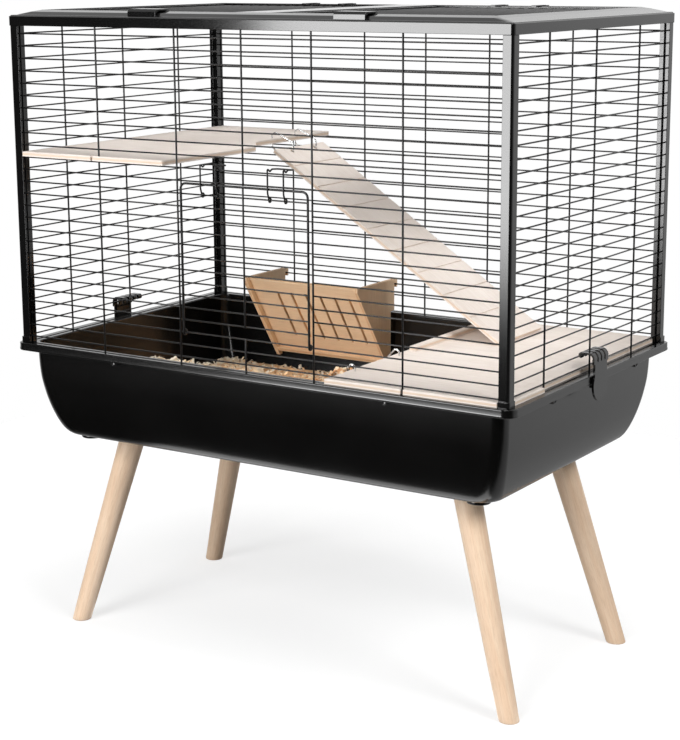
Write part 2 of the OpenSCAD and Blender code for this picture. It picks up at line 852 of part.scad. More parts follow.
// Plastic frame of a roof door, with its tab in front and its hinge arms behind
module roof_door(s) {
    over_z = border_z + 0.5;
    top_z = over_z + 2.6;
    lid_top = lid_z + lid_t;
    tab = [[-lid_y + 9, lid_top - 0.5], [-lid_y + 9, over_z + 0.5], [-lid_y + 6, top_z],
        [-border_y - 2.5, top_z], [-border_y - 6, top_z - 3.4], [-border_y - 6, ledge_z + play],
        [-border_y - 3.4, ledge_z + play], [-border_y - 3.4, over_z - 2], [-border_y - 1.6, over_z],
        [-lid_y, over_z], [-lid_y, lid_top - 0.5]];
    arm = [[lid_y - 9, lid_top - 0.5], [lid_y, lid_top - 0.5], [lid_y, over_z],
        [border_y + 0.8, over_z], [hinge_y, hinge_z], [hinge_y, top_z], [lid_y - 7, top_z],
        [lid_y - 9, over_z]];
    color(black_plastic)
        mirror([1 - s, 0, 0]) {
            translate([0, 0, lid_z])
                linear_extrude(lid_t)
                    difference() {
                        translate([bridge_x + play, -lid_y])
                            square([recess_x - bridge_x - 2 * play, 2 * lid_y]);
                        translate([bridge_x + play + lid_w, -lid_y + lid_w])
                            square([recess_x - bridge_x - 2 * play - 2 * lid_w,
                                2 * (lid_y - lid_w)]);
                    }
            across_x(lid_tab_x - lid_tab_w / 2, lid_tab_w) polygon(tab);
            for (x = lid_hinges)
                difference() {
                    union() {
                        across_x(x - knuckle_w / 2, knuckle_w) polygon(arm);
                        translate([x - knuckle_w / 2, hinge_y, hinge_z])
                            rotate([0, 90, 0])
                                cylinder(h = knuckle_w, r = knuckle_r, $fn = 48);
                    }
                    translate([x - knuckle_w, hinge_y, hinge_z])
                        rotate([0, 90, 0])
                            cylinder(h = 2 * knuckle_w, r = pin_r + run, $fn = 32);
                }
        }
}

// Wires inside a roof door's frame
module roof_grid(s) {
    x0 = bridge_x + play + lid_w;
    x1 = recess_x - play - lid_w;
    y1 = lid_y - lid_w;
    z = lid_z + lid_t / 2;
    count = floor((x1 - x0) / row_pitch);
    first = x0 + ((x1 - x0) - (count - 1) * row_pitch) / 2;
    color(black_wire)
        mirror([1 - s, 0, 0]) {
            for (i = [0 : count - 1])
                translate([first + i * row_pitch, -y1, z])
                    rotate([-90, 0, 0])
                        cylinder(h = 2 * y1, r = wire_r, $fn = 8);
            for (y = [-y1 / 2, 0, y1 / 2])
                translate([x0, y, z - wire_r - upright_r + weld])
                    rotate([0, 90, 0])
                        cylinder(h = x1 - x0, r = upright_r, $fn = 8);
        }
}

// ---- Side clips ----

// Side view of the clip on the right, in X and Z from the wire that it hooks over
clip_in = tray_l / 2 + 0.4 - side_x;
clip_out = clip_in + clip_t;
clip_eye = wire_r + play;
clip_hook_z = rim_z - rim_h - row_z(clip_row) - 1.2;

module clip_side_view() {
    bend = 8;
    top = clip_eye + finger_t;
    difference() {
        union() {
            circle(top, $fn = 48);
            translate([0, clip_eye])
                square([clip_out - bend, finger_t]);
            difference() {
                translate([clip_out - bend, top - bend])
                    circle(bend, $fn = 48);
                translate([clip_out - bend, top - bend])
                    circle(bend - finger_t, $fn = 48);
                translate([0, top - 3 * bend])
                    square([clip_out - bend, 4 * bend]);
                translate([0, top - 3 * bend])
                    square([2 * clip_out, 2 * bend]);
            }
        }
        circle(clip_eye, $fn = 48);
        translate([0, -2 * top])
            square([2 * top, 2 * top + clip_eye]);
    }
    translate([clip_in, rim_z - clip_drop - row_z(clip_row)])
        square([clip_t, clip_drop + top - bend - rim_z + row_z(clip_row)]);
    translate([clip_in - 3.4, clip_hook_z - 3])
        square([3.4 + clip_t / 2, 3]);
}

// Front view of the clip in Y and Z: shoulders, waist and a rounded tab
module clip_front_view() {
    w = clip_w / 2;
    foot = rim_z - clip_drop - row_z(clip_row);
    waist = rim_z - row_z(clip_row) - 4;
    difference() {
        union() {
            translate([-w, -11])
                square([2 * w, 30]);
            translate([-w + 3, waist - 8])
                square([2 * w - 6, -waist]);
            translate([-w, foot + w])
                square([2 * w, waist - 6 - foot - w]);
            translate([0, foot + w])
                circle(w, $fn = 64);
        }
        for (i = [-1, 0, 1])
            translate([i * clip_w / 4 - finger_gap / 2, -9])
                square([finger_gap, 40]);
    }
}

module side_clip(s) {
    color(black_plastic)
        mirror([1 - s, 0, 0])
            translate([side_x, 0, row_z(clip_row)])
                intersection() {
                    rotate([90, 0, 0])
                        linear_extrude(clip_w, center = true)
                            clip_side_view();
                    across_x(-10, clip_out + 20) clip_front_view();
                }
}

// ---- Shelf, ramp and rings ----

shelf_z = row_z(shelf_row) + wire_r + 0.15;
shelf_top = shelf_z + shelf_t;
shelf_front = front_y + board_out;
notch_y = front_y + upright_off;

module upper_shelf() {
    back = front_y + 0.3;
    left = post_in_x - play;
    color(pale_wood)
        translate([0, 0, shelf_z])
            linear_extrude(shelf_t)
                difference() {
                    polygon([[-left, -shelf_front], [shelf_x1 - 4, -shelf_front],
                        [shelf_x1 - 1.2, -shelf_front + 1.2], [shelf_x1, -shelf_front + 4],
                        [shelf_x1, shelf_step_y1], [shelf_x2, shelf_step_y2], [shelf_x2, back],
                        [-left, back]]);
                    // Slot that lets the upright in and holds it to one side
                    translate([-upright_x2 - 11 - notch_w / 2, -shelf_front - over])
                        square([notch_w, board_out + 1.6 + over]);
                    translate([-upright_x2 - 11, -notch_y - notch_w / 2 + 0.4])
                        square([11 + notch_w / 2, notch_w - 0.6]);
                    for (y = ring_places)
                        translate([shelf_x2 - ring_edge, y])
                            circle(ring_r + play, $fn = 24);
                }
}

platform_top = rim_z + platform_t;
ring_places = [ramp_y + ring_in, ramp_y + ramp_w - ring_in];
// The ramp's top edge and its slope, so that its lower end lies on the platform
ramp_x = shelf_x2 + ramp_gap;
ramp_z = shelf_top - ramp_drop;
ramp_a = asin((ramp_z - platform_top - 0.15) / norm([ramp_l, ramp_t])) - atan(ramp_t / ramp_l);
ring_hole_r = ramp_t / 2 * tan(ramp_lift) + ring_r / cos(ramp_lift) + play;
// Middle of the ring's hole in the ramp, which is the ramp's pivot, in X and Z
pivot = [ramp_x + ring_edge * cos(ramp_a) - ramp_t / 2 * sin(ramp_a),
    ramp_z - ring_edge * sin(ramp_a) - ramp_t / 2 * cos(ramp_a)];

module on_ramp() translate([ramp_x, ramp_y, ramp_z]) rotate([0, ramp_a, 0]) children();

// A board with grooves across it and a hole for a ring at each of the places, from its
// top edge along X
module grooved_board(l, w, grooves, places) {
    difference() {
        translate([0, 0, -ramp_t])
            cube([l, w, ramp_t]);
        for (i = [0 : grooves - 1])
            translate([groove_first + i * groove_pitch, -over, -groove_d])
                cube([groove_w, w + 2 * over, groove_d + over]);
        for (y = places)
            translate([ring_edge, y, -ramp_t - over])
                cylinder(h = ramp_t + 2 * over, r = ring_hole_r, $fn = 32);
    }
}

// Closed rings bent along an outline in X and Z, one at each of the places along Y
module rings(outline, places) {
    start = mix(outline[len(outline) - 1], outline[0], 0.5);
    soft = bent(concat([start], outline, [start]), 3, 3);
    color(steel)
        for (y = places)
            bent_wire([for (i = [0 : len(soft) - 2]) [soft[i].x, y, soft[i].y]],
                ring_r, [0, 1, 0], closed = true);
}

module ramp() {
    color(pale_wood)
        on_ramp()
            grooved_board(ramp_l, ramp_w, groove_count, [ring_in, ramp_w - ring_in]);
}

// Each ring passes through a hole in the shelf and square through one in the ramp
module ramp_rings() {
    hole_x = shelf_x2 - ring_edge;
    up = [sin(ramp_a), cos(ramp_a)];
    rings([[hole_x, shelf_z - 5], [hole_x, shelf_top + 5], [hole_x + 6, shelf_top + 9],
        pivot + 15 * up + [-6, 2], pivot + 6.5 * up, pivot - 6.5 * up,
        pivot - 10 * up + [-6, -1], [hole_x + 8, shelf_z - 13]], ring_places);
}

// ---- Lower ramp, which hangs on rings from the platform and stands in the bedding ----

low_ramp_x = platform_x - low_ramp_gap;
low_ramp_z = platform_top - low_ramp_drop;
low_ring_places = [low_ramp_y + low_ring_in, low_ramp_y + low_ramp_w - low_ring_in];

module on_low_ramp() {
    translate([low_ramp_x, low_ramp_y, low_ramp_z])
        mirror([1, 0, 0])
            rotate([0, low_ramp_a, 0])
                children();
}

module lower_ramp() {
    color(pale_wood)
        on_low_ramp()
            grooved_board(low_ramp_l, low_ramp_w, low_groove_count,
                [low_ring_in, low_ramp_w - low_ring_in]);
}

module lower_ramp_rings() {
    hole_x = platform_x + ring_edge;
    up = [-sin(low_ramp_a), cos(low_ramp_a)];
    eye = [low_ramp_x - ring_edge * cos(low_ramp_a), low_ramp_z - ring_edge * sin(low_ramp_a)]
        - ramp_t / 2 * up;
    rings([[hole_x, rim_z - 5], [hole_x, platform_top + 5], [hole_x - 6, platform_top + 9],
        eye + 13 * up + [7, 1.5], eye + 6.5 * up, eye - 6.5 * up, eye - 10 * up + [6, -1]],
        low_ring_places);
}

// ---- Lower platform ----

module lower_platform() {
    right = side_x - wire_r - 2.5;
    back = tray_d / 2 - rim_over_y + 1;
    cut_x = post_in_x - play - collar_t;
    cut_y = post_in_y - play - collar_t;
    tab_y = -cut_y + tab_l;
    color(pale_wood)
        translate([0, 0, rim_z])
            linear_extrude(platform_t)
                difference() {
                    polygon([[platform_x, -shelf_front], [cut_x, -shelf_front], [cut_x, -cut_y],
                        [side_x + platform_tab, -cut_y], [side_x + platform_tab, tab_y],
                        [right, tab_y], [right, cut_y - 1], [cut_x, cut_y - 1], [cut_x, back],
                        [platform_x, back]]);
                    for (y = low_ring_places)
                        translate([platform_x + ring_edge, y])
                            circle(ring_r + play, $fn = 24);
                    translate([upright_x2 - notch_w / 2, -shelf_front - over])
                        square([notch_w, board_out + over]);
                    translate([side_x + upright_off - notch_w / 2, -upright_y - notch_w / 2])
                        square([notch_w + over + platform_tab, notch_w + over]);
                }
}

module platform_batten() {
    color(pale_wood)
        translate([platform_x + 6, batten_y, platform_top])
            cube([batten_w, batten_l, batten_h]);
}

// ---- Hay rack, drawn in Y and Z ----

// Just in front of the tray's wall below the rim, and the wires above it
rack_back = tray_d / 2 - rim_over_y - tray_wall - rack_gap;
rack_hang_z = row_z(rack_row) + wire_r + 0.15;
rack_top = rack_hang_z + 6.85;
rack_foot = rack_top - rack_h;
rack_lip = [front_y - 4 - rack_d, rack_top - 6];
rack_toe = [rack_back - rack_foot_d, rack_foot];
rack_down = unit(rack_toe - rack_lip);
rack_in = [-rack_down.y, rack_down.x];
rack_floor_z = rack_foot + 7;
// Point of the rack's front, s down its slope and d behind the sides' edge
function rack_point(s, d) = rack_lip + s * rack_down + d * rack_in;
// Point at height z on the face that is d behind the sides' edge
function rack_at(z, d) = rack_point((z - rack_lip.y - d * rack_in.y) / rack_down.y, d);

module rack_side(x) {
    color(rack_wood)
        across_x(x, rack_side_t)
            polygon([rack_lip, rack_toe, [rack_back, rack_foot], [rack_back, rim_z + 3],
                [front_y - 4, rim_z + 3], [front_y - 4, rack_hang_z],
                [front_y + wire_r + play, rack_hang_z], [front_y + wire_r + play, rack_hang_z - 6],
                [front_y + wire_r + play + 3.2, rack_hang_z - 6],
                [front_y + wire_r + play + 3.2, rack_top], [front_y - 4, rack_top],
                rack_lip + [0, 6]]);
}

module rack_front() {
    near = rack_recess;
    far = rack_recess + rack_front_t;
    mid_x = rack_x + rack_l / 2;
    floor_top = rack_floor_z + rack_floor_t;
    color(rack_wood)
        difference() {
            across_x(rack_x + rack_side_t, rack_l - 2 * rack_side_t)
                polygon([rack_point(2, near), rack_at(floor_top, near), rack_at(floor_top, far),
                    rack_point(2, far)]);
            for (i = [0 : slot_count - 1])
                across_x(mid_x + (i - (slot_count - 1) / 2) * slot_pitch + 11 - slot_w / 2, slot_w)
                    polygon([rack_point(slot_top, near - over),
                        rack_point(slot_top + slot_l, near - over),
                        rack_point(slot_top + slot_l, far + over),
                        rack_point(slot_top, far + over)]);
        }
}

module rack_floor() {
    top = rack_floor_z + rack_floor_t;
    color(rack_wood)
        across_x(rack_x + rack_side_t, rack_l - 2 * rack_side_t)
            polygon([rack_at(top, 1), rack_at(rack_floor_z, 1), [rack_back, rack_floor_z],
                [rack_back, top]]);
}

// ---- Bedding: loose shavings in the tray, heaped along the front ----

bed_z = leg_h + tray_wall + play;
// Room left between the bedding and the tray's wall
bed_gap = 2.5;
// Room left round the lower ramp's foot in the bedding
ramp_play = 0.4;

function bed_top(x, y) =
    let (near = (y + tray_d / 2 - rim_over_y) / bed_heap_w,
         right = 1 / (1 + exp(-(x + 175) / 22)))
    bed_z + bed_flat + bed_heap * exp(-near * near) * right * 0.96
        + 2.2 * sin(3.7 * x + 20) * cos(4.9 * y) + 1.2 * sin(9.1 * x) * sin(8.3 * y + 50);

// Point j of the bedding's edge at height z, just inside the straight facets of the bowl's side
function bed_edge(j, z) =
    let (down = (rim_z - z) / (tray_h - tray_wall),
         i = min(bowl_steps - 1, floor(asin(pow(down, bowl_power / 2)) * bowl_steps / 90)),
         a = bowl_ring(i),
         b = bowl_ring(i + 1),
         size = bowl_size(mix(a[1], b[1], (down - a[0]) / (b[0] - a[0])), tray_wall + bed_gap))
    outline_point(j, size[0], size[1], size[2], 4, 9);

module bedding() {
    count = 52;
    level = bed_z + bed_flat;
    tops = [for (j = [0 : count - 1]) let (p = bed_edge(j, level)) bed_top(p.x, p.y)];
    sides = [for (w = [0, 0.06, 0.2, 0.5, 1])
        [for (j = [0 : count - 1])
            let (z = mix(bed_z, tops[j], w))
            [each bed_edge(j, z), z]]];
    heap = [for (t = [0.88 : -0.12 : 0.1])
        [for (j = [0 : count - 1])
            let (p = bed_edge(j, level), e = bed_edge(j, tops[j]))
            [e.x * t, e.y * t, bed_top(p.x * t, p.y * t)]]];
    color(shavings)
        difference() {
            skin(concat(sides, heap));
            for (c = CORNERS)
                on_leg(c, leg_len)
                    cylinder(h = nut_seat + washer_t + nut_h + 5 - leg_len, r = 14, $fn = 12);
            on_low_ramp()
                translate([0, -ramp_play, -ramp_t - ramp_play])
                    cube([low_ramp_l + ramp_play, low_ramp_w + 2 * ramp_play, 200]);
        }
}

tray();
leg([-1, -1]);  // leg_front_left
leg([1, -1]);  // leg_front_right
leg([-1, 1]);  // leg_back_left
leg([1, 1]);  // leg_back_right
leg_bolts();
leg_washers();
leg_nuts();
post([-1, -1]);  // post_front_left
post([1, -1]);  // post_front_right
post([-1, 1]);  // post_back_left
post([1, 1]);  // post_back_right
back_grille();
end_grille(-1);  // left_grille
end_grille(1);  // right_grille
front_side(-1);  // front_grille_left
front_side(1);  // front_grille_right
front_grille_top();
front_grille_bottom();
front_door();
door_latch(-1);  // door_latch_left
door_latch(1);  // door_latch_right
roof_frame();
roof_hinge_pins();
roof_door(-1);  // roof_door_left
roof_door(1);  // roof_door_right
roof_grid(-1);  // roof_grid_left
roof_grid(1);  // roof_grid_right
side_clip(-1);  // side_clip_left
side_clip(1);  // side_clip_right
upper_shelf();
ramp();
ramp_rings();
lower_platform();
platform_batten();
lower_ramp();
lower_ramp_rings();
rack_front();
rack_side(rack_x);  // rack_side_left
rack_side(rack_x + rack_l - rack_side_t);  // rack_side_right
rack_floor();
bedding();
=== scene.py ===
import json
import math

import bmesh
import bpy
import numpy as np
from mathutils import Matrix, Vector

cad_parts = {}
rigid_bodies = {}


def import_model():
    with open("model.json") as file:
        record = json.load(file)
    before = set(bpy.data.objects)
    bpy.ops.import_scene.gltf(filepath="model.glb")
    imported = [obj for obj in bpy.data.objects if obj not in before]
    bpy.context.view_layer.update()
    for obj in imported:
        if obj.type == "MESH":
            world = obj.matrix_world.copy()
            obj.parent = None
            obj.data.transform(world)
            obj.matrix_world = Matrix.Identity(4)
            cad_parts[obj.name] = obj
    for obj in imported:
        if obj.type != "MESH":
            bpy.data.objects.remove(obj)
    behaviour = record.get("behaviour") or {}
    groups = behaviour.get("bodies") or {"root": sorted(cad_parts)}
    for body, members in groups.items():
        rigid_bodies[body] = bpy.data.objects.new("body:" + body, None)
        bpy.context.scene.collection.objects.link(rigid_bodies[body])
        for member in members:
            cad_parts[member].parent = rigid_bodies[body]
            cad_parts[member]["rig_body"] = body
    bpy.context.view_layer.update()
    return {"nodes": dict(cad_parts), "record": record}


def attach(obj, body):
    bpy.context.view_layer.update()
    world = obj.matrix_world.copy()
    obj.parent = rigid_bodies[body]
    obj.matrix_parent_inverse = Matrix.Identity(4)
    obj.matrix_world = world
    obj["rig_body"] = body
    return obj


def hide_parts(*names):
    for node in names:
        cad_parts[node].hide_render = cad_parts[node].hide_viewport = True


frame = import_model()
SLOTS = {s["node"]: s["material_slot"] for s in frame["record"]["subparts"]}

# ---- Sizes of the cage in millimetres, as in the part ----

MM = 0.001
# The tray: half length and half depth of its rim, the rim's top, the bowl's depth and its wall
TRAY = (387.5, 237.5)
RIM_Z = 421.6
TRAY_H = 133.6
WALL = 3.0
# The bowl: half length and half depth under the rim, and how far in its side has drawn at each depth
BOWL = (368.0, 222.0)
BOWL_DEPTHS = (0, 20, 45, 70, 90, 105, 118, 126, 131, 133.6)
BOWL_DRAWN = (0, 0.3, 1.5, 5.0, 9.3, 13.7, 18.6, 22.9, 27.6, 34.5)
# How far in its floor has drawn along X and Y, and its corner radius at the rim and at the floor
BOWL_IN = (34.5, 29.5)
BOWL_R = (17.0, 30.0)
# The wire panels: the planes of their rows, the lowest row, the rows' pitch and number, the wires' radii
SIDE_X = 372.5
FRONT_Y = 226.0
ROW_0 = 431.0
PITCH = 16.5
ROWS = 26
WIRE = 1.0
UPRIGHT = 1.25
# The uprights stand outside the rows by this much, at these places
UPRIGHT_OFF = 1.85
UPRIGHTS_X = (104.0, 233.0)
UPRIGHT_Y = 130.0
# Half lengths of the rows along X and Y, and the heights of the uprights' ends
WIRE_END = (369.8, 221.35)
UPRIGHT_SPAN = (420.4, 857.8)
# The doorway: its half width, the row that the door hangs on and the row over it
DOORWAY = 102.0
HINGE_ROW = 2
HEAD_ROW = 14
# A wire hooked round another keeps this gap, and welded wires overlap by this much
PLAY = 0.3
WELD = 0.4
# The roof: half length, half depth and corner radius, the recess for its doors, and half the bridge.
# Then the doors' underside, the gap round them and the width of their frames
ROOF = (380.2, 231.75, 4.6)
RECESS = (343.2, 204.15)
BRIDGE = 27.0
ROOF_DOOR_Z = 868.3
ROOF_DOOR_GAP = 0.3
ROOF_DOOR_FRAME = 12.0
# The roof doors' hinges
HINGES_X = (125.5, 188.5)
HINGE_Y = 222.35
KNUCKLE_R = 4.2
KNUCKLE_W = 8.0
# The legs: the axis at the floor and at the top, height, length along the axis, radii
LEG_FOOT = (350.4, 161.7)
LEG_TOP = (267.0, 129.0)
LEG_H = 288.0
LEG_LEN = 294.87
LEG_R = (13.0, 18.0)
# The boards: undersides of the shelf and the batten, and the shelf's thickness
SHELF_Z = 679.65
SHELF_T = 6.5
BATTEN_Z = 427.6
# The ramps: slope, and the upper end
RAMP_A = math.radians(33.6112)
RAMP_AT = np.array([-148.0, 57.0, 674.65])
LOW_RAMP_A = math.radians(38.0)
LOW_RAMP_AT = np.array([118.0, -182.0, 419.6])
# The hay rack's front board, seen from the side: Y and Z of its upper and lower end
RACK_UPPER = (118.0, 466.0)
RACK_LOWER = (204.5, 338.0)
# The bedding: its underside, its depth in the middle, and the height that it never passes
BED_Z = 291.3
BED_DEPTH = 31
BED_LIMIT = 436.0


def row_z(k):
    """The height of row k of the wire panels, from the lowest, 0."""
    return ROW_0 + PITCH * k


def unit(v):
    v = np.asarray(v, float)
    return v / np.linalg.norm(v)


# ---- Materials ----

def new_material(name):
    """A material with an empty node tree but for its shader and output."""
    mat = bpy.data.materials.new(name)
    mat.use_nodes = True
    nodes = mat.node_tree.nodes
    nodes.clear()
    out = nodes.new("ShaderNodeOutputMaterial")
    shader = nodes.new("ShaderNodeBsdfPrincipled")
    mat.node_tree.links.new(shader.outputs[0], out.inputs[0])
    return mat, nodes, mat.node_tree.links, shader


def noise(nodes, links, vector, scale, detail=4.0, rough=0.5, distortion=0.0, stretch=None):
    """Noise over vector, packed closer along each axis by stretch."""
    if stretch:
        m = nodes.new("ShaderNodeMapping")
        m.inputs["Scale"].default_value = stretch
        links.new(vector, m.inputs["Vector"])
        vector = m.outputs[0]
    n = nodes.new("ShaderNodeTexNoise")
    n.inputs["Scale"].default_value = scale
    n.inputs["Detail"].default_value = detail
    n.inputs["Roughness"].default_value = rough
    n.inputs["Distortion"].default_value = distortion
    links.new(vector, n.inputs["Vector"])
    return n.outputs["Fac"]


def ramp(nodes, links, value, stops):
    """The colour at value between stops, each a position and a colour."""
    r = nodes.new("ShaderNodeValToRGB")
    r.color_ramp.elements[0].position, r.color_ramp.elements[0].color = stops[0][0], (*stops[0][1], 1)
    r.color_ramp.elements[1].position, r.color_ramp.elements[1].color = stops[-1][0], (*stops[-1][1], 1)
    for at, colour in stops[1:-1]:
        e = r.color_ramp.elements.new(at)
        e.color = (*colour, 1)
    links.new(value, r.inputs[0])
    return r.outputs[0]


def spread(nodes, links, value, low, high, start=0.0, end=1.0, kind="LINEAR"):
    """Spreads value, from start to end, over low to high."""
    m = nodes.new("ShaderNodeMapRange")
    m.interpolation_type = kind
    m.inputs["From Min"].default_value = start
    m.inputs["From Max"].default_value = end
    m.inputs["To Min"].default_value = low
    m.inputs["To Max"].default_value = high
    links.new(value, m.inputs["Value"])
    return m.outputs[0]


def combined(nodes, links, operation, a, b):
    """The result of a math node on a socket and another socket or a number."""
    m = nodes.new("ShaderNodeMath")
    m.operation = operation
    links.new(a, m.inputs[0])
    if isinstance(b, float):
        m.inputs[1].default_value = b
    else:
        links.new(b, m.inputs[1])
    return m.outputs[0]


def bump(nodes, links, value, shader, strength, distance):
    b = nodes.new("ShaderNodeBump")
    b.inputs["Strength"].default_value = strength
    b.inputs["Distance"].default_value = distance
    links.new(value, b.inputs["Height"])
    links.new(b.outputs[0], shader.inputs["Normal"])


def mixed(nodes, links, a, b, factor, mode="MIX"):
    m = nodes.new("ShaderNodeMix")
    m.data_type = "RGBA"
    m.blend_type = mode
    if isinstance(factor, float):
        m.inputs["Factor"].default_value = factor
    else:
        links.new(factor, m.inputs["Factor"])
    links.new(a, m.inputs[6])
    links.new(b, m.inputs[7])
    return m.outputs[2]


def plastic(name, base, rough, grain_scale, grain, specular=0.5):
    """Moulded plastic: a fine even skin, slightly uneven gloss and faint scuffs."""
    mat, nodes, links, shader = new_material(name)
    at = nodes.new("ShaderNodeTexCoord").outputs["Object"]
    wide = noise(nodes, links, at, 9.0, 3.0)
    fine = noise(nodes, links, at, grain_scale, 2.0)
    scuff = noise(nodes, links, at, 60.0, 6.0, 0.65, 0.4, (1, 1, 4))
    dark = tuple(c * 0.8 for c in base)
    light = tuple(c * 1.25 + 0.0006 for c in base)
    links.new(ramp(nodes, links, wide, [(0.3, dark), (0.7, light)]), shader.inputs["Base Color"])
    scuffed = spread(nodes, links, scuff, rough * 0.85, rough * 1.15)
    drifting = spread(nodes, links, wide, -0.02, 0.02)
    links.new(combined(nodes, links, "ADD", scuffed, drifting), shader.inputs["Roughness"])
    shader.inputs["Specular IOR Level"].default_value = specular
    bump(nodes, links, fine, shader, grain, 0.0003)
    return mat


def wood(name, light, dark, rough=0.55, ply=None, figure=1.0, pores=0.5):
    """Wood with its grain along the first axis of the grain attribute; ply colours the middle layers."""
    mat, nodes, links, shader = new_material(name)
    grain = nodes.new("ShaderNodeAttribute")
    grain.attribute_name = "grain"
    at = grain.outputs["Vector"]
    streak = noise(nodes, links, at, 1.0, 5.0, 0.6, 1.2, (7.0, 150.0, 150.0))
    fibre = noise(nodes, links, at, 1.0, 3.0, 0.6, 0.2, (55.0, 1600.0, 1600.0))
    cloud = noise(nodes, links, at, 1.0, 3.0, 0.5, 0.5, (5.0, 14.0, 14.0))
    middle = tuple(a * (1 - 0.45 * figure) + b * 0.45 * figure for a, b in zip(light, dark))
    low = tuple(a * (1 - figure) + b * figure for a, b in zip(light, dark))
    base = ramp(nodes, links, streak, [(0.28, low), (0.5, middle), (0.66, light)])
    tint = ramp(nodes, links, cloud, [(0.3, (0.93, 0.915, 0.9)), (0.7, (1.03, 1.03, 1.03))])
    base = mixed(nodes, links, base, tint, 1.0, "MULTIPLY")
    pore = tuple(1 - share * pores for share in (0.16, 0.2, 0.24))
    flecks = ramp(nodes, links, fibre, [(0.36, pore), (0.5, (1, 1, 1))])
    base = mixed(nodes, links, base, flecks, 1.0, "MULTIPLY")
    if ply:
        layer = nodes.new("ShaderNodeAttribute")
        layer.attribute_name = "ply"
        face, inside = (0, 0, 0), (1, 1, 1)
        stops = [(0.0, face), (0.27, face), (0.31, inside), (0.69, inside), (0.73, face), (1.0, face)]
        core = ramp(nodes, links, layer.outputs["Fac"], stops)
        shade = nodes.new("ShaderNodeRGB")
        shade.outputs[0].default_value = (*ply, 1)
        darker = mixed(nodes, links, base, shade.outputs[0], 1.0, "MULTIPLY")
        base = mixed(nodes, links, base, darker, core)
    links.new(base, shader.inputs["Base Color"])
    links.new(spread(nodes, links, streak, rough - 0.06, rough + 0.08), shader.inputs["Roughness"])
    shader.inputs["Specular IOR Level"].default_value = 0.35
    bump(nodes, links, fibre, shader, 0.25, 0.0002)
    return mat


def steel(name):
    """Bright steel with fine uneven polish."""
    mat, nodes, links, shader = new_material(name)
    at = nodes.new("ShaderNodeTexCoord").outputs["Object"]
    wide = noise(nodes, links, at, 40.0, 4.0)
    fine = noise(nodes, links, at, 900.0, 3.0)
    grey = ramp(nodes, links, wide, [(0.3, (0.62, 0.62, 0.63)), (0.7, (0.78, 0.78, 0.77))])
    links.new(grey, shader.inputs["Base Color"])
    shader.inputs["Metallic"].default_value = 1.0
    links.new(spread(nodes, links, fine, 0.18, 0.34), shader.inputs["Roughness"])
    bump(nodes, links, fine, shader, 0.1, 0.0001)
    return mat


def shavings_material(name):
    """Wood shavings, from orange to cream by the tone attribute, with fibres along each strip."""
    mat, nodes, links, shader = new_material(name)
    tone = nodes.new("ShaderNodeAttribute")
    tone.attribute_name = "tone"
    grain = nodes.new("ShaderNodeAttribute")
    grain.attribute_name = "grain"
    fibre = noise(nodes, links, grain.outputs["Vector"], 1.0, 3.0, 0.6, 0.2, (90.0, 1500.0, 1500.0))
    tones = [(0.0, (0.92, 0.48, 0.2)), (0.25, (0.97, 0.62, 0.34)),
             (0.6, (0.98, 0.78, 0.54)), (1.0, (0.98, 0.9, 0.76))]
    colour = ramp(nodes, links, tone.outputs["Fac"], tones)
    flecks = ramp(nodes, links, fibre, [(0.3, (0.88, 0.84, 0.78)), (0.6, (1, 1, 1))])
    links.new(mixed(nodes, links, colour, flecks, 1.0, "MULTIPLY"), shader.inputs["Base Color"])
    shader.inputs["Roughness"].default_value = 0.7
    shader.inputs["Specular IOR Level"].default_value = 0.25
    bump(nodes, links, fibre, shader, 0.2, 0.0002)
    return mat


MATS = {
    "tray_plastic": plastic("tray_plastic", (0.0022, 0.0021, 0.002), 0.2, 1400.0, 0.05),
    "frame_plastic": plastic("frame_plastic", (0.0035, 0.0034, 0.0034), 0.11, 1100.0, 0.04),
    "black_wire": plastic("black_wire", (0.005, 0.0048, 0.0048), 0.32, 2600.0, 0.1, 0.38),
    "leg_wood": wood("leg_wood", (0.85, 0.66, 0.49), (0.76, 0.51, 0.33), 0.42, figure=0.7, pores=0.7),
    "board_wood": wood("board_wood", (0.91, 0.83, 0.77), (0.83, 0.73, 0.655), 0.62,
                       ply=(0.93, 0.83, 0.72), figure=0.6, pores=0.5),
    "rack_wood": wood("rack_wood", (0.96, 0.74, 0.52), (0.9, 0.65, 0.43), 0.6,
                      ply=(0.9, 0.78, 0.65), figure=0.6, pores=0.6),
    "steel": steel("steel"),
    "shavings": shavings_material("shavings"),
}


# ---- Meshes ----

def piece(name, verts, faces, node, sharp=35.0, extra=()):
    """Makes a mesh piece in millimetres that stands for node and the extra nodes, on node's body."""
    mesh = bpy.data.meshes.new(name)
    mesh.from_pydata((np.asarray(verts, float) * MM).tolist(), [], faces)
    mesh.update()
    mesh.shade_smooth()
    mesh.set_sharp_from_angle(angle=math.radians(sharp))
    obj = bpy.data.objects.new(name, mesh)
    bpy.context.scene.collection.objects.link(obj)
    mesh.materials.append(MATS[SLOTS[node]])
    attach(obj, frame["nodes"][node]["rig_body"])
    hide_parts(node, *extra)
    return obj


def set_grain(obj, along):
    """Keeps each point's place along the grain, across it and through the board."""
    co = np.array([v.co for v in obj.data.vertices], float)
    local = np.array([along(p) for p in co], np.float32)
    a = obj.data.attributes.new("grain", "FLOAT_VECTOR", "POINT")
    a.data.foreach_set("vector", local.ravel())
    z = local[:, 2]
    ply = (z - z.min()) / max(z.max() - z.min(), 1e-9)
    b = obj.data.attributes.new("ply", "FLOAT", "POINT")
    b.data.foreach_set("value", ply.astype(np.float32))
    return obj


def join(parts):
    """The vertices and faces of several meshes as one."""
    verts, faces, base = [], [], 0
    for v, f in parts:
        verts.append(np.asarray(v, float))
        faces += [[i + base for i in face] for face in f]
        base += len(v)
    return np.vstack(verts), faces


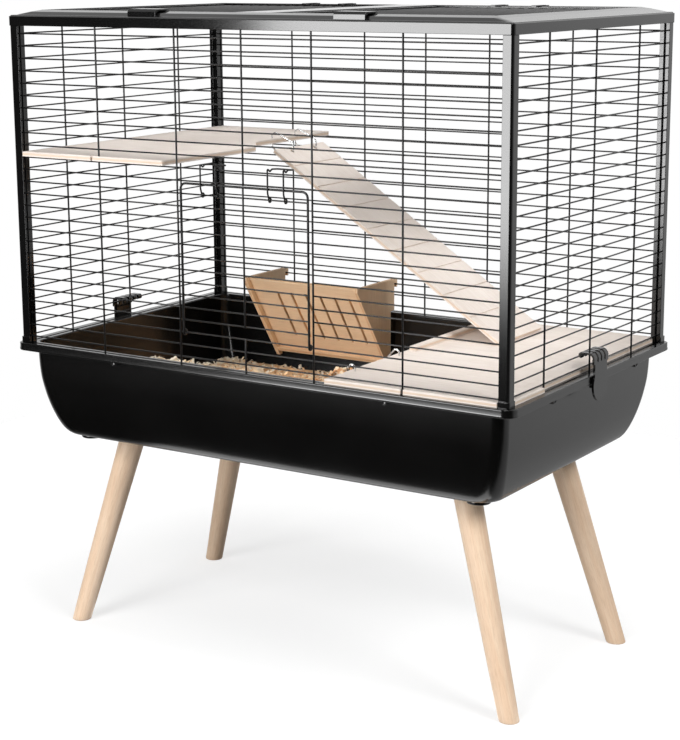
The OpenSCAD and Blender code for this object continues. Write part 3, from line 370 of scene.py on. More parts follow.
def loft(rings, closed=False, ends=True):
    """Faces between rings of as many points each, the first and last closed with a face."""
    n, m = len(rings[0]), len(rings)
    faces = []
    for i in range(m if closed else m - 1):
        a, b = i * n, (i + 1) % m * n
        faces += [[a + k, a + (k + 1) % n, b + (k + 1) % n, b + k] for k in range(n)]
    if ends and not closed:
        faces += [list(range(n - 1, -1, -1)), list(range((m - 1) * n, m * n))]
    return np.vstack(rings), faces


def tube(path, r, sides=14, closed=False, first=None, edge=0.35):
    """A round wire swept along a path, its cut ends slightly rounded."""
    p = np.asarray(path, float)
    if closed:
        t = np.roll(p, -1, 0) - np.roll(p, 1, 0)
    else:
        t = np.vstack([p[1] - p[0], p[2:] - p[:-2], p[-1] - p[-2]])
    t /= np.linalg.norm(t, axis=1)[:, None]
    radii = np.full(len(p), float(r))
    if not closed:
        e = edge * r
        angles = np.radians([0, 30, 60])
        off, rad = e * (1 - np.cos(angles)), r - e + e * np.sin(angles)
        start = [p[0] + t[0] * o for o in off]
        stop = [p[-1] - t[-1] * o for o in off[::-1]]
        p = np.vstack([start, [p[0] + t[0] * e], p[1:-1], [p[-1] - t[-1] * e], stop])
        t = np.vstack([[t[0]] * len(off), t, [t[-1]] * len(off)])
        radii = np.concatenate([rad, radii, rad[::-1]])
    if first is None:
        first = [0, 0, 1] if abs(t[0][2]) < 0.9 else [1, 0, 0]
    u = np.array(first, float)
    rings = []
    angle = 2 * np.pi * (np.arange(sides) + 0.5) / sides
    for q, d, rr in zip(p, t, radii):
        u = unit(u - d * (u @ d))
        w = np.cross(d, u)
        rings.append(q + rr * (np.cos(angle)[:, None] * u + np.sin(angle)[:, None] * w))
    return loft(rings, closed)


def straight(a, b, r):
    return tube([a, (np.asarray(a, float) + np.asarray(b, float)) / 2, b], r)


def bent(path, reach, steps=6):
    """The path with its corners rounded, from reach before each to reach after it."""
    p = [np.asarray(q, float) for q in path]
    out = [p[0]]
    for i in range(1, len(p) - 1):
        a = p[i] + unit(p[i - 1] - p[i]) * reach
        b = p[i] + unit(p[i + 1] - p[i]) * reach
        for k in range(steps + 1):
            s = k / steps
            out.append((1 - s) * ((1 - s) * a + s * p[i]) + s * ((1 - s) * p[i] + s * b))
    return out + [p[-1]]


def eye(x, centre, r, turn=290, steps=22):
    """Points of the eye at a wire's end, from its tip, round another wire along X."""
    reach = WIRE + PLAY + r
    return [np.array([x, centre[0] + reach * math.cos(a), centre[1] + reach * math.sin(a)])
            for a in (math.radians(180 + turn * i / steps) for i in range(steps, 0, -1))]


def finished(obj):
    """Takes obj's mesh as its modifiers leave it, its flat faces shaded flat up to the rounded edges."""
    even = obj.modifiers.new("normals", "WEIGHTED_NORMAL")
    even.mode = "FACE_AREA"
    even.weight = 100
    bpy.context.view_layer.update()
    done = bpy.data.meshes.new_from_object(obj.evaluated_get(bpy.context.evaluated_depsgraph_get()))
    name = obj.data.name
    obj.modifiers.clear()
    obj.data = done
    done.name = name


def block(x, y, z, e=0.5):
    """A box between pairs of X, Y and Z, its edges rounded by e."""
    hx, hy = (x[1] - x[0]) / 2, (y[1] - y[0]) / 2
    at = np.array([(x[0] + x[1]) / 2, (y[0] + y[1]) / 2, 0])
    return loft([outline(hx - i * e, hy - i * e, e, h, 3, 1) + at
                 for i, h in ((1, z[0]), (0.3, z[0] + 0.3 * e), (0, z[0] + e),
                              (0, z[1] - e), (0.3, z[1] - 0.3 * e), (1, z[1]))])


def bevelled(node, width, name, segments=3, angle=30.0, reshape=None, merge=True):
    """A copy of a CAD node, moved by reshape and with rounded edges, that stands for the node."""
    src = frame["nodes"][node]
    bm = bmesh.new()
    bm.from_mesh(src.data)
    bmesh.ops.remove_doubles(bm, verts=bm.verts, dist=2e-6)
    if merge:
        bmesh.ops.dissolve_limit(bm, angle_limit=math.radians(1.5), verts=bm.verts, edges=bm.edges)
    if reshape:
        for v in bm.verts:
            v.co = Vector(reshape(*(c / MM for c in v.co))) * MM
    mesh = bpy.data.meshes.new(name)
    bm.to_mesh(mesh)
    bm.free()
    mesh.shade_smooth()
    obj = bpy.data.objects.new(mesh.name, mesh)
    bpy.context.scene.collection.objects.link(obj)
    mod = obj.modifiers.new("edges", "BEVEL")
    mod.width = width * MM
    mod.segments = segments
    mod.limit_method = "ANGLE"
    mod.angle_limit = math.radians(angle)
    mod.use_clamp_overlap = True
    mod.miter_outer = "MITER_ARC"
    finished(obj)
    obj.data.materials.clear()
    obj.data.materials.append(MATS[SLOTS[node]])
    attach(obj, src["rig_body"])
    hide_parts(node)
    return obj


# ---- Tray ----

def outline(hx, hy, r, z, corner=16, side=6):
    """A rounded rectangle's points at height z."""
    pts = []
    r = max(r, 0.05)
    for q, (sx, sy) in enumerate(((1, 1), (-1, 1), (-1, -1), (1, -1))):
        c = np.array([sx * (hx - r), sy * (hy - r)])
        arc = [c + r * np.array([math.cos(a), math.sin(a)])
               for a in ((q + k / corner) * math.pi / 2 for k in range(corner + 1))]
        nx, ny = ((-1, 1), (-1, -1), (1, -1), (1, 1))[q]
        a = (q + 1) * math.pi / 2
        after = np.array([nx * (hx - r), ny * (hy - r)]) + r * np.array([math.cos(a), math.sin(a)])
        pts += arc + [arc[-1] + (after - arc[-1]) * k / side for k in range(1, side)]
    return np.array([[p[0], p[1], z] for p in pts])


def bowl_at(k, inward):
    """The bowl's half length, half depth and corner radius, k of the way in to its floor's edge."""
    return (BOWL[0] - inward - BOWL_IN[0] * k, BOWL[1] - inward - BOWL_IN[1] * k,
            BOWL_R[0] + (BOWL_R[1] - BOWL_R[0]) * k - inward)


def smooth_curve(xs, ys):
    """A smooth rising curve through the points, as a function."""
    x, y = np.asarray(xs, float), np.asarray(ys, float)
    h, d = np.diff(x), np.diff(y) / np.diff(x)
    m = np.zeros(len(x))
    m[0], m[-1] = d[0], d[-1] * 1.5
    for i in range(1, len(x) - 1):
        if d[i - 1] * d[i] > 0:
            w0, w1 = 2 * h[i] + h[i - 1], h[i] + 2 * h[i - 1]
            m[i] = (w0 + w1) / (w0 / d[i - 1] + w1 / d[i])

    def at(v):
        i = int(np.clip(np.searchsorted(x, v) - 1, 0, len(h) - 1))
        t = min(max((v - x[i]) / h[i], 0.0), 1.0)
        return (y[i] * (1 + 2 * t) * (1 - t) ** 2 + h[i] * m[i] * t * (1 - t) ** 2
                + y[i + 1] * t * t * (3 - 2 * t) + h[i] * m[i + 1] * t * t * (t - 1))
    return at


bowl_curve = smooth_curve(BOWL_DEPTHS, BOWL_DRAWN)


def bowl_rings(inward, depth, first, steps=44):
    """Rings from first below the rim down, as (half length, half depth, corner radius, height)."""
    out = []
    for i in range(steps + 1):
        # The rings lie closer towards the floor, where the side curves most
        down = 1 - (1 - i / steps) ** 1.7
        if down * depth < first:
            continue
        out.append((*bowl_at(bowl_curve(down * TRAY_H) / BOWL_IN[0], inward), RIM_Z - depth * down))
    return out


def build_tray():
    rim_h, rim_t, rim_r = 10.8, 3.0, 16.0
    low, under = RIM_Z - rim_h, RIM_Z - rim_t

    def within(off, r, z):
        return TRAY[0] - off, TRAY[1] - off, r, z

    rings = list(reversed(bowl_rings(0.0, TRAY_H, 4.2)))
    # Fillet under the rim, flange, and skirt with a rolled lower edge
    rings += [(BOWL[0] + 0.2, BOWL[1] + 0.2, BOWL_R[0], under - 0.7),
              (BOWL[0] + 0.9, BOWL[1] + 0.9, BOWL_R[0], under),
              within(rim_t + 0.8, rim_r - rim_t, under), within(rim_t, rim_r - rim_t, under - 0.8)]
    lip = rim_t / 2 - 0.1
    for a in np.radians([180, 210, 240, 270, 300, 330, 360]):
        off = rim_t / 2 - lip * math.cos(a)
        rings.append(within(off, rim_r - off, low + lip + lip * math.sin(a)))
    # A shallow bead runs along the lower part of the skirt
    rings += [within(0.1, rim_r, low + 3.0), within(0.55, rim_r - 0.5, low + 3.5),
              within(0.6, rim_r - 0.5, RIM_Z - 1.6)]
    # The rim's rounded edge, and the groove in its top that the panels stand in
    edge = 1.5
    for a in np.radians([20, 45, 70, 90]):
        rings.append(within(0.6 + edge - edge * math.cos(a), rim_r - edge, RIM_Z - edge + edge * math.sin(a)))
    half, deep = 2.0, 1.5
    side = [(half + 0.5, 0), (half + 0.1, -0.2), (half, -0.5), (half, -deep)]
    for off, z in side + [(-off, z) for off, z in reversed(side)]:
        rings.append((SIDE_X + UPRIGHT_OFF + off, FRONT_Y + UPRIGHT_OFF + off, 6.0, RIM_Z + z))
    # The rim's rounded inner edge, and the bowl's inside
    inner, edge = bowl_at(0, WALL), 1.6
    for a in np.radians([90, 60, 30, 0]):
        off = edge - edge * math.cos(a)
        rings.append((inner[0] + off, inner[1] + off, inner[2], RIM_Z - edge + edge * math.sin(a)))
    rings += bowl_rings(WALL, TRAY_H - WALL, 2.2)
    parts = [loft([outline(*r) for r in rings])]
    # Lugs under the rim, and round pads and the legs' seats under the floor
    lug_at, lug_in, pad_at = (212.0, 122.0), 1.2, (309.0, 171.0)
    for s in (-1, 1):
        for t in (-1, 1):
            front = np.array([s * lug_at[0], t * (TRAY[1] - lug_in), low])
            side = np.array([s * (TRAY[0] - lug_in), t * lug_at[1], low])
            parts.append(lug(front, np.array([0, -t, 0]), np.array([1, 0, 0]), 15.0))
            parts.append(lug(side, np.array([-s, 0, 0]), np.array([0, 1, 0]), 19.0))
    for s in (-1, 1):
        for t in (-1, 1):
            parts.append(disc(np.array([s * pad_at[0], t * pad_at[1], LEG_H - 6.0]), 15.5, 12.0))
            parts.append(seat(s, t))
    verts, faces = join(parts)
    finished(piece("tray_shell", verts, faces, "tray", 40.0))


def lug(at, inward, along, depth):
    """A half ring below the skirt's edge, with a recessed web, reaching in to the bowl."""
    # Radius, and how far in: the round outside, its edge, the face, and the web
    section = [(5.0, depth), (5.0, 0.4), (4.8, 0.1), (4.5, 0.0), (3.9, 0.0),
               (3.7, 0.1), (3.6, 0.3), (3.6, 1.4), (0.3, 1.4)]
    angles = np.radians(np.linspace(0, -180, 19))
    rings = []
    for r, d in section:
        rings.append(np.array([at + inward * d + along * r * math.cos(a) + [0, 0, 0.6 + r * math.sin(a)]
                               for a in angles]))
    n = len(angles)
    faces = [[i * n + k, i * n + k + 1, (i + 1) * n + k + 1, (i + 1) * n + k]
             for i in range(len(rings) - 1) for k in range(n - 1)]
    return np.vstack(rings), faces


def disc(at, r, h):
    """A round pad that stands on at, its lower edge rounded."""
    rings = []
    for rr, z in ((r - 2.2, 0.0), (r - 1.0, 0.25), (r - 0.3, 0.9), (r, 2.0), (r, h)):
        rings.append(np.array([at + np.array([rr * math.cos(a), rr * math.sin(a), z])
                               for a in np.linspace(0, 2 * math.pi, 48, endpoint=False)]))
    return loft(rings)


def leg_axis(sx, sy):
    """A leg's foot, the way up along its axis, and two directions across it."""
    foot = np.array([sx * LEG_FOOT[0], sy * LEG_FOOT[1], 0.0])
    top = np.array([sx * LEG_TOP[0], sy * LEG_TOP[1], LEG_H])
    d = unit(top - foot)
    u = unit(np.cross(d, [0, 0, 1.0]))
    return foot, d, u, np.cross(d, u)


def seat(sx, sy):
    """The round seat that a leg's top sits in, under the tray's floor."""
    foot, d, u, w = leg_axis(sx, sy)
    rings = []
    # Radius past the leg's top, and height past it along the axis
    for wide, up in ((0.4, -0.2), (0.6, -0.6), (1.4, -0.6), (1.9, -0.1), (2.3, 1.0), (3.0, 9.0)):
        r, s = LEG_R[1] + wide, LEG_LEN + up
        rings.append(np.array([foot + d * s + r * (math.cos(a) * u + math.sin(a) * w)
                               for a in np.linspace(0, 2 * math.pi, 64, endpoint=False)]))
    verts, faces = loft(rings)
    verts[:, 2] = np.minimum(verts[:, 2], LEG_H + 2.0)
    return verts, faces


# ---- Legs ----

def build_leg(node, sx, sy):
    foot, d, u, w = leg_axis(sx, sy)
    angles = np.linspace(0, 2 * math.pi, 72, endpoint=False)
    # The cone goes on below the axis's foot by this much, since the end is cut aslant
    toe = 5.04

    def radius(s):
        return LEG_R[0] + (LEG_R[1] - LEG_R[0]) * (s + toe) / (LEG_LEN + toe)

    rings = []
    # The end stands flat on the floor, with its edge rounded over
    for z, inset in ((0.0, 1.5), (0.2, 0.75), (0.6, 0.25), (1.4, 0.0)):
        ring = []
        for a in angles:
            side = math.cos(a) * u + math.sin(a) * w
            s = 0.0
            for _ in range(6):
                s = (z - (radius(s) - inset) * side[2]) / d[2]
            ring.append(foot + d * s + (radius(s) - inset) * side)
        rings.append(np.array(ring))
    for s, inset in ((9.0, 0), (22.0, 0), (60.0, 0), (110.0, 0), (160.0, 0), (210.0, 0), (260.0, 0),
                     (LEG_LEN - 2.4, 0), (LEG_LEN - 1.2, 0.15), (LEG_LEN - 0.4, 0.6), (LEG_LEN - 0.1, 1.4)):
        r = radius(s) - inset
        rings.append(np.array([foot + d * s + r * (math.cos(a) * u + math.sin(a) * w) for a in angles]))
    verts, faces = loft(rings)
    obj = piece(node + "_turned", verts, faces, node, 40.0)
    # Each leg shows another stretch of grain
    shift = 3.7 * sx + 1.9 * sy

    def along(p):
        q = np.asarray(p) - foot * MM
        return (q @ d + shift, q @ u + shift, q @ w)

    return set_grain(obj, along)


# ---- Wire panels ----

def rows_x(x0, x1, y, rows):
    """The given rows' wires along X, from x0 to x1."""
    return [straight([x0, y, row_z(k)], [x1, y, row_z(k)], WIRE) for k in rows]


def upright(x, y, z0, z1):
    return straight([x, y, z0], [x, y, z1], UPRIGHT)


def build_grilles():
    ex, ey = WIRE_END
    z0, z1 = UPRIGHT_SPAN
    x1, x2 = UPRIGHTS_X
    out = FRONT_Y + UPRIGHT_OFF
    parts = rows_x(-ex, ex, FRONT_Y, range(ROWS))
    parts += [upright(x, out, z0, z1) for x in (-x2, -x1, 0, x1, x2)]
    piece("back_wires", *join(parts), "back_grille")
    for s, side in ((-1, "left"), (1, "right")):
        parts = [straight([s * SIDE_X, -ey, row_z(k)], [s * SIDE_X, ey, row_z(k)], WIRE) for k in range(ROWS)]
        parts += [upright(s * (SIDE_X + UPRIGHT_OFF), y, z0, z1) for y in (-UPRIGHT_Y, 0, UPRIGHT_Y)]
        piece(side + "_wires", *join(parts), side + "_grille")
    # The front panel is welded in one round the doorway
    parts = rows_x(-ex, ex, -FRONT_Y, [*range(HINGE_ROW + 1), *range(HEAD_ROW, ROWS)])
    for s in (-1, 1):
        parts += rows_x(s * DOORWAY, s * ex, -FRONT_Y, range(HINGE_ROW + 1, HEAD_ROW))
        parts += [upright(s * x, -out, z0, z1) for x in (x1, x2)]
    parts += [upright(0, -out, row_z(HEAD_ROW) - WIRE, z1), upright(0, -out, z0, row_z(HINGE_ROW) + WIRE)]
    piece("front_wires", *join(parts), "front_grille_left",
          extra=("front_grille_right", "front_grille_top", "front_grille_bottom"))


def build_door():
    bar_r, door_x = 1.5, 98.0
    bar_y = -FRONT_Y - WIRE - PLAY - bar_r
    wire_y = bar_y + bar_r + WIRE - WELD
    top = row_z(HEAD_ROW) - WIRE - PLAY - bar_r
    low = row_z(HINGE_ROW)
    hinge = (-FRONT_Y, low)
    corners = [[-door_x, bar_y, low], [-door_x, bar_y, top], [door_x, bar_y, top], [door_x, bar_y, low]]
    path = eye(-door_x, hinge, bar_r) + bent(corners, 9.0, 8) + eye(door_x, hinge, bar_r)[::-1]
    parts = [tube(path, bar_r, 16, first=[1, 0, 0])]
    parts += rows_x(-door_x, door_x, wire_y, range(HINGE_ROW + 1, HEAD_ROW))
    parts.append(upright(0, wire_y - UPRIGHT_OFF, row_z(HINGE_ROW + 1) - WIRE, top))
    piece("door_wires", *join(parts), "front_door")
    # Each latch is a loop that turns on the door's last row and hooks over the second row above the doorway
    r, x_in, width, reach = 1.1, 40.0, 24.0, 17.0
    y, z = wire_y, row_z(HEAD_ROW - 1)
    leg_y = wire_y - WIRE - PLAY - r
    out_y = bar_y - bar_r - PLAY - r
    dip = row_z(HEAD_ROW + 1) + WIRE + PLAY + r
    side = [(leg_y, z), (leg_y, z + 2), (out_y, z + 9), (out_y, dip + 3.2), (-FRONT_Y - 3, dip + 3),
            (-FRONT_Y, dip), (-FRONT_Y + 4, dip + 3), (-FRONT_Y + reach, dip + 2)]
    for s, name in ((-1, "left"), (1, "right")):
        x0, x1 = s * x_in, s * (x_in + width)
        loop = bent([[x0, *q] for q in side] + [[x1, *q] for q in side[::-1]], 1.9, 5)
        path = eye(x0, (y, z), r) + loop + eye(x1, (y, z), r)[::-1]
        piece("latch_loop_" + name, *tube(path, r, first=[s, 0, 0]), "door_latch_" + name)


def build_roof_grids():
    x0 = BRIDGE + ROOF_DOOR_GAP + ROOF_DOOR_FRAME
    x1, y1 = (half - ROOF_DOOR_GAP - ROOF_DOOR_FRAME for half in RECESS)
    z = ROOF_DOOR_Z + 2.5
    below = z - WIRE - UPRIGHT + WELD
    count = int((x1 - x0) // PITCH)
    first = x0 + ((x1 - x0) - (count - 1) * PITCH) / 2
    for s, name in ((-1, "left"), (1, "right")):
        xs = [s * (first + i * PITCH) for i in range(count)]
        parts = [straight([x, -y1, z], [x, y1, z], WIRE) for x in xs]
        parts += [straight([s * x0, y, below], [s * x1, y, below], UPRIGHT) for y in (-y1 / 2, 0, y1 / 2)]
        piece("roof_wires_" + name, *join(parts), "roof_grid_" + name)


# ---- Boards ----

def flat_board(z0, turned=False, shift=0.0):
    """Grain along X, or turned to Y. The shift gives each board its own stretch of grain."""
    def along(p):
        a, b = (p[1], p[0]) if turned else (p[0], p[1])
        return (a + shift, b + shift, p[2] - z0 * MM)
    return along


def side_board(shift):
    """Grain along Z."""
    def along(p):
        return (p[2] + shift, p[1] + shift, p[0])
    return along


def ramp_board(p):
    """Grain down the ramp, towards +X."""
    q = np.asarray(p) - RAMP_AT * MM
    c, s = math.cos(RAMP_A), math.sin(RAMP_A)
    return (q[0] * c - q[2] * s + 2.3, q[1] + 2.3, q[0] * s + q[2] * c)


def low_ramp_board(p):
    """Grain down the lower ramp, towards -X."""
    q = np.asarray(p) - LOW_RAMP_AT * MM
    c, s = math.cos(LOW_RAMP_A), math.sin(LOW_RAMP_A)
    return (-q[0] * c - q[2] * s + 7.7, q[1] + 7.7, -q[0] * s + q[2] * c)


def rack_board(p):
    """Grain along X on the rack's slanting front."""
    down = unit(np.subtract(RACK_LOWER, RACK_UPPER))
    q = np.array(p[1:]) - np.array(RACK_UPPER) * MM
    return (p[0] + 5.1, q @ down + 5.1, q @ np.array([-down[1], down[0]]))


def build_boards():
    for node, width, name, along in (
            ("upper_shelf", 0.45, "shelf_board", flat_board(SHELF_Z, shift=0.7)),
            ("lower_platform", 0.45, "platform_board", flat_board(RIM_Z, shift=4.1)),
            ("platform_batten", 0.6, "batten", flat_board(BATTEN_Z, turned=True, shift=6.3)),
            ("ramp", 0.4, "ramp_board", ramp_board),
            ("lower_ramp", 0.4, "low_ramp_board", low_ramp_board),
            ("rack_front", 0.4, "rack_front_board", rack_board),
            ("rack_floor", 0.4, "rack_floor_board", flat_board(345.0, shift=8.8)),
            ("rack_side_left", 0.5, "rack_side_board_left", side_board(9.4)),
            ("rack_side_right", 0.5, "rack_side_board_right", side_board(10.9))):
        set_grain(bevelled(node, width, name), along)


# ---- Roof, posts, clips and fixings ----

def build_roof():
    """The roof's moulding: skirt, ledge, sloped border round the doors, and the bridge between them."""
    hx, hy, r = ROOF
    inner_x, inner_y = RECESS
    low, top, floor_z = 853.8, 874.5, 865.5
    # Skirt and ledge: how far in from the outline, and the height
    skirt = [(2.2, floor_z), (2.2, low + 0.4), (1.8, low), (0.5, low), (0.15, low + 0.15), (0, low + 0.5),
             (0, 865.9), (0.15, 866.35), (0.6, 866.5), (1.5, 866.6), (2.2, 867.6), (2.9, 868.0)]
    # The sloped border: how far in along X and Y, the corner radius and the height
    slope = [(7.0, 6.0, 7.0, 868.3), (7.6, 6.5, 7.0, 868.5),
             (26.0, 11.3, 7.0, 872.1), (26.8, 12.2, 6.5, 872.4)]
    # The wall of the doors' recess: how far out from it, the corner radius and the height
    wall = [(1.6, 2.5, top - 0.2), (0.8, 1.5, top), (0.2, 1.0, top - 0.3),
            (0, 1.0, top - 0.8), (0, 1.0, floor_z)]
    rings = [(hx - off, hy - off, r - off, z) for off, z in skirt]
    rings += [(hx - off_x, hy - off_y, corner, z) for off_x, off_y, corner, z in slope]
    rings += [(inner_x + off, inner_y + off, corner, z) for off, corner, z in wall]
    parts = [loft([outline(*q) for q in rings], closed=True)]
    # The ledge that the doors lie on, with the bridge, the posts' sockets and the hinges' lugs
    ledge, ledge_w, joint = (floor_z, 868.0), 10.0, 0.4
    end_y = inner_y + 0.35

    lug_y, lug_z = (HINGE_Y - KNUCKLE_R, HINGE_Y + KNUCKLE_R), (867.5, 875.4)

    def span(side, a, b):
        return tuple(sorted((side * a, side * b)))

    for s in (-1, 1):
        parts.append(block(span(s, inner_x - ledge_w, inner_x + joint), (-end_y, end_y), ledge, 0.3))
        for t in (-1, 1):
            strip = span(t, inner_y - ledge_w, end_y)
            parts.append(block(span(s, 36.5, inner_x - ledge_w + joint), strip, ledge, 0.3))
            parts.append(block(span(s, 365.1, 377.9), span(t, 216.7, 229.4), (low + 0.1, 866.0), 0.3))
        for x in HINGES_X:
            for side in (-1, 1):
                at = s * x + side * (KNUCKLE_W / 2 + 0.3 + 2)
                parts.append(block((at - 2, at + 2), lug_y, lug_z))
    parts.append(block((-BRIDGE - ledge_w, BRIDGE + ledge_w), (-end_y, end_y), ledge, 0.3))
    parts.append(block((-BRIDGE, BRIDGE), (-end_y, end_y), (867.5, top), 0.7))
    finished(piece("roof_moulding", *join(parts), "roof_frame", 50.0))


def roof_door_shape(x, y, z):
    """Brings the tab in front over the border's slope, and keeps the hinge arms low."""
    tab_y, arm_y = -218, 190
    if y < tab_y:
        y -= 3.6
    if y > arm_y:
        z = min(z, 875.6)
    return x, y, z


def build_plastics():
    build_roof()
    for name in ("left", "right"):
        bevelled("roof_door_" + name, 0.6, "roof_door_frame_" + name,
                 reshape=roof_door_shape, merge=False)
        bevelled("side_clip_" + name, 0.5, "clip_" + name)
        for end in ("front", "back"):
            bevelled(f"post_{end}_{name}", 0.5, f"post_profile_{end}_{name}", angle=40.0)


def build_fixings():
    for node in ("leg_bolts", "leg_washers", "leg_nuts", "roof_hinge_pins"):
        bevelled(node, 0.35, node + "_turned", 2)


def ring_set(view, places, name, node):
    """Closed rings bent along an outline in X and Z, at each place along Y."""
    view = [np.array(p, float) for p in view]
    mid = (view[-1] + view[0]) / 2
    rounded = bent([mid, *view, mid], 3.0)[:-1]
    parts = [tube([[x, y, z] for x, z in rounded], 1.25, closed=True, first=[0, 1, 0]) for y in places]
    piece(name, *join(parts), node)


def build_rings():
    """The rings that the ramps hang on, each through a hole in the board above and round the ramp's end."""
    up = np.array([math.sin(RAMP_A), math.cos(RAMP_A)])
    pivot = np.array([-142.165, 667.17])
    hole, top = -176.0, SHELF_Z + SHELF_T
    ring_set([[hole, SHELF_Z - 5], [hole, top + 5], [hole + 6, top + 9], pivot + 15 * up + [-6, 2],
              pivot + 6.5 * up, pivot - 6.5 * up, pivot - 10 * up + [-6, -1], [hole + 8, SHELF_Z - 13]],
             (90.0, 149.0), "ring_wires", "ramp_rings")
    along = np.array([math.cos(LOW_RAMP_A), math.sin(LOW_RAMP_A)])
    up = np.array([-math.sin(LOW_RAMP_A), math.cos(LOW_RAMP_A)])
    pivot = LOW_RAMP_AT[[0, 2]] - 9 * along - 3 * up
    hole, top = 130.0, BATTEN_Z
    ring_set([[hole, RIM_Z - 5], [hole, top + 5], [hole - 6, top + 9], pivot + 13 * up + [7, 1.5],
              pivot + 6.5 * up, pivot - 6.5 * up, pivot - 10 * up + [6, -1]],
             (-172.0, -63.0), "low_ring_wires", "lower_ramp_rings")


# ---- Bedding ----

def bed_top(x, y):
    """The bedding's height: nearly level, and heaped against the front up to about the rim."""
    heap_y, heap_reach, heap_h = -212.0, 50.0, 100.8
    heap_left, fade = -200, 8
    near = (y - heap_y) / heap_reach
    right = 1 / (1 + np.exp((heap_left - x) / fade))
    return (BED_Z + BED_DEPTH + heap_h * np.exp(-near * near) * right
            # Slow waves along and across
            + 2.2 * np.sin(np.radians(3.7 * x + 20)) * np.cos(np.radians(4.9 * y))
            + 1.2 * np.sin(np.radians(9.1 * x)) * np.sin(np.radians(8.3 * y + 50)))


def bed_edge(share, z):
    """X and Y of a point inside the tray's wall at height z, at a share of the way round."""
    down = min(1.0, (RIM_Z - z) / (TRAY_H - WALL))
    hx, hy, r = bowl_at(bowl_curve(down * TRAY_H) / BOWL_IN[0], WALL + 0.6)
    ring = outline(hx, hy, r, z, 8, 16)
    at = share * len(ring)
    i = int(at) % len(ring)
    j = (i + 1) % len(ring)
    f = at - int(at)
    return ring[i][:2] * (1 - f) + ring[j][:2] * f


def build_bedding():
    rng = np.random.default_rng(7)
    around, deep = 160, 46
    foot = np.array([bed_edge(j / around, BED_Z + BED_DEPTH) for j in range(around)])
    tops = bed_top(foot[:, 0], foot[:, 1])
    edge = np.array([bed_edge(j / around, tops[j]) for j in range(around)])
    # The heap under the shavings: up the tray's wall, then in over the uneven top
    rough = rng.normal(0, 1.0, (deep, around))
    rough = (rough + np.roll(rough, 1, 1) + np.roll(rough, 1, 0)) * 1.1
    rings = []
    for heights in (np.full(around, BED_Z + 0.3), (BED_Z + tops) / 2):
        rings.append(np.array([[*bed_edge(j / around, z), z] for j, z in enumerate(heights)]))
    for i in range(deep):
        t = 1 - i / deep * 0.98
        z = bed_top(foot[:, 0] * t, foot[:, 1] * t) - 4.5 + rough[i]
        rings.append(np.column_stack([edge[:, 0] * t, edge[:, 1] * t, z]))
    verts, faces = loft(rings)
    parts, tone, grain = [(verts, faces)], [np.full(len(verts), 0.4)], [verts * MM]

    def add(strip, value):
        verts, faces, flat = strip
        parts.append((verts, faces))
        tone.append(np.full(len(verts), value))
        grain.append(flat * MM + rng.random(3) * 9)

    # Loose shavings over the heap, flakes and curls: their share of the way round and of the way out
    strips = []
    for kind, count in (("flat", 9000), ("curl", 2600)):
        share = rng.random(count)
        in_front = rng.random(count) < 0.55
        share = np.where(in_front, (2.5 + rng.random(count)) / 4, share)
        out = np.sqrt(rng.random(count)) * 0.985
        out = np.where(in_front, 0.6 + 0.385 * rng.random(count), out)
        strips += [(kind, *where) for where in zip(share, out)]
    for kind, share, out in strips:
        j = share * around
        i0, f = int(j) % around, j - int(j)
        i1 = (i0 + 1) % around
        inner = foot[i0] * (1 - f) + foot[i1] * f
        outer = edge[i0] * (1 - f) + edge[i1] * f
        length = rng.uniform(6, 17)
        room = 1 - (0.5 * length + 1.0) / max(np.linalg.norm(outer), 1.0)
        x, y = outer * min(out, room)
        z = bed_top(*(inner * out)) - 2.4 + rng.uniform(-1.0, 3.2)
        strip = shaving(rng, np.array([x, y, z]), kind, length)
        # Cream on the left, more orange on the right
        pale = 0.2 if x < -60 else -0.22
        add(strip, np.clip(rng.normal(0.7, 0.2) + pale, 0.02, 1))
    # A few that have been kicked up against the edge of the platform
    kicked_y = -178
    for _ in range(46):
        x, y = rng.uniform(103, 122), rng.normal(kicked_y, 7)
        z = 422 + rng.uniform(0, 9) * (1 - abs(y - kicked_y) / 30)
        strip = shaving(rng, np.array([x, y, z]), "curl", rng.uniform(5, 9))
        add(strip, rng.uniform(0.05, 0.8))
    verts, faces = join(parts)
    verts[:, 2] = np.minimum(verts[:, 2], BED_LIMIT)
    heap = piece("shavings_heap", verts, faces, "bedding", 80.0)
    tones = heap.data.attributes.new("tone", "FLOAT", "POINT")
    tones.data.foreach_set("value", np.concatenate(tone).astype(np.float32))
    grains = heap.data.attributes.new("grain", "FLOAT_VECTOR", "POINT")
    grains.data.foreach_set("vector", np.vstack(grain).astype(np.float32).ravel())


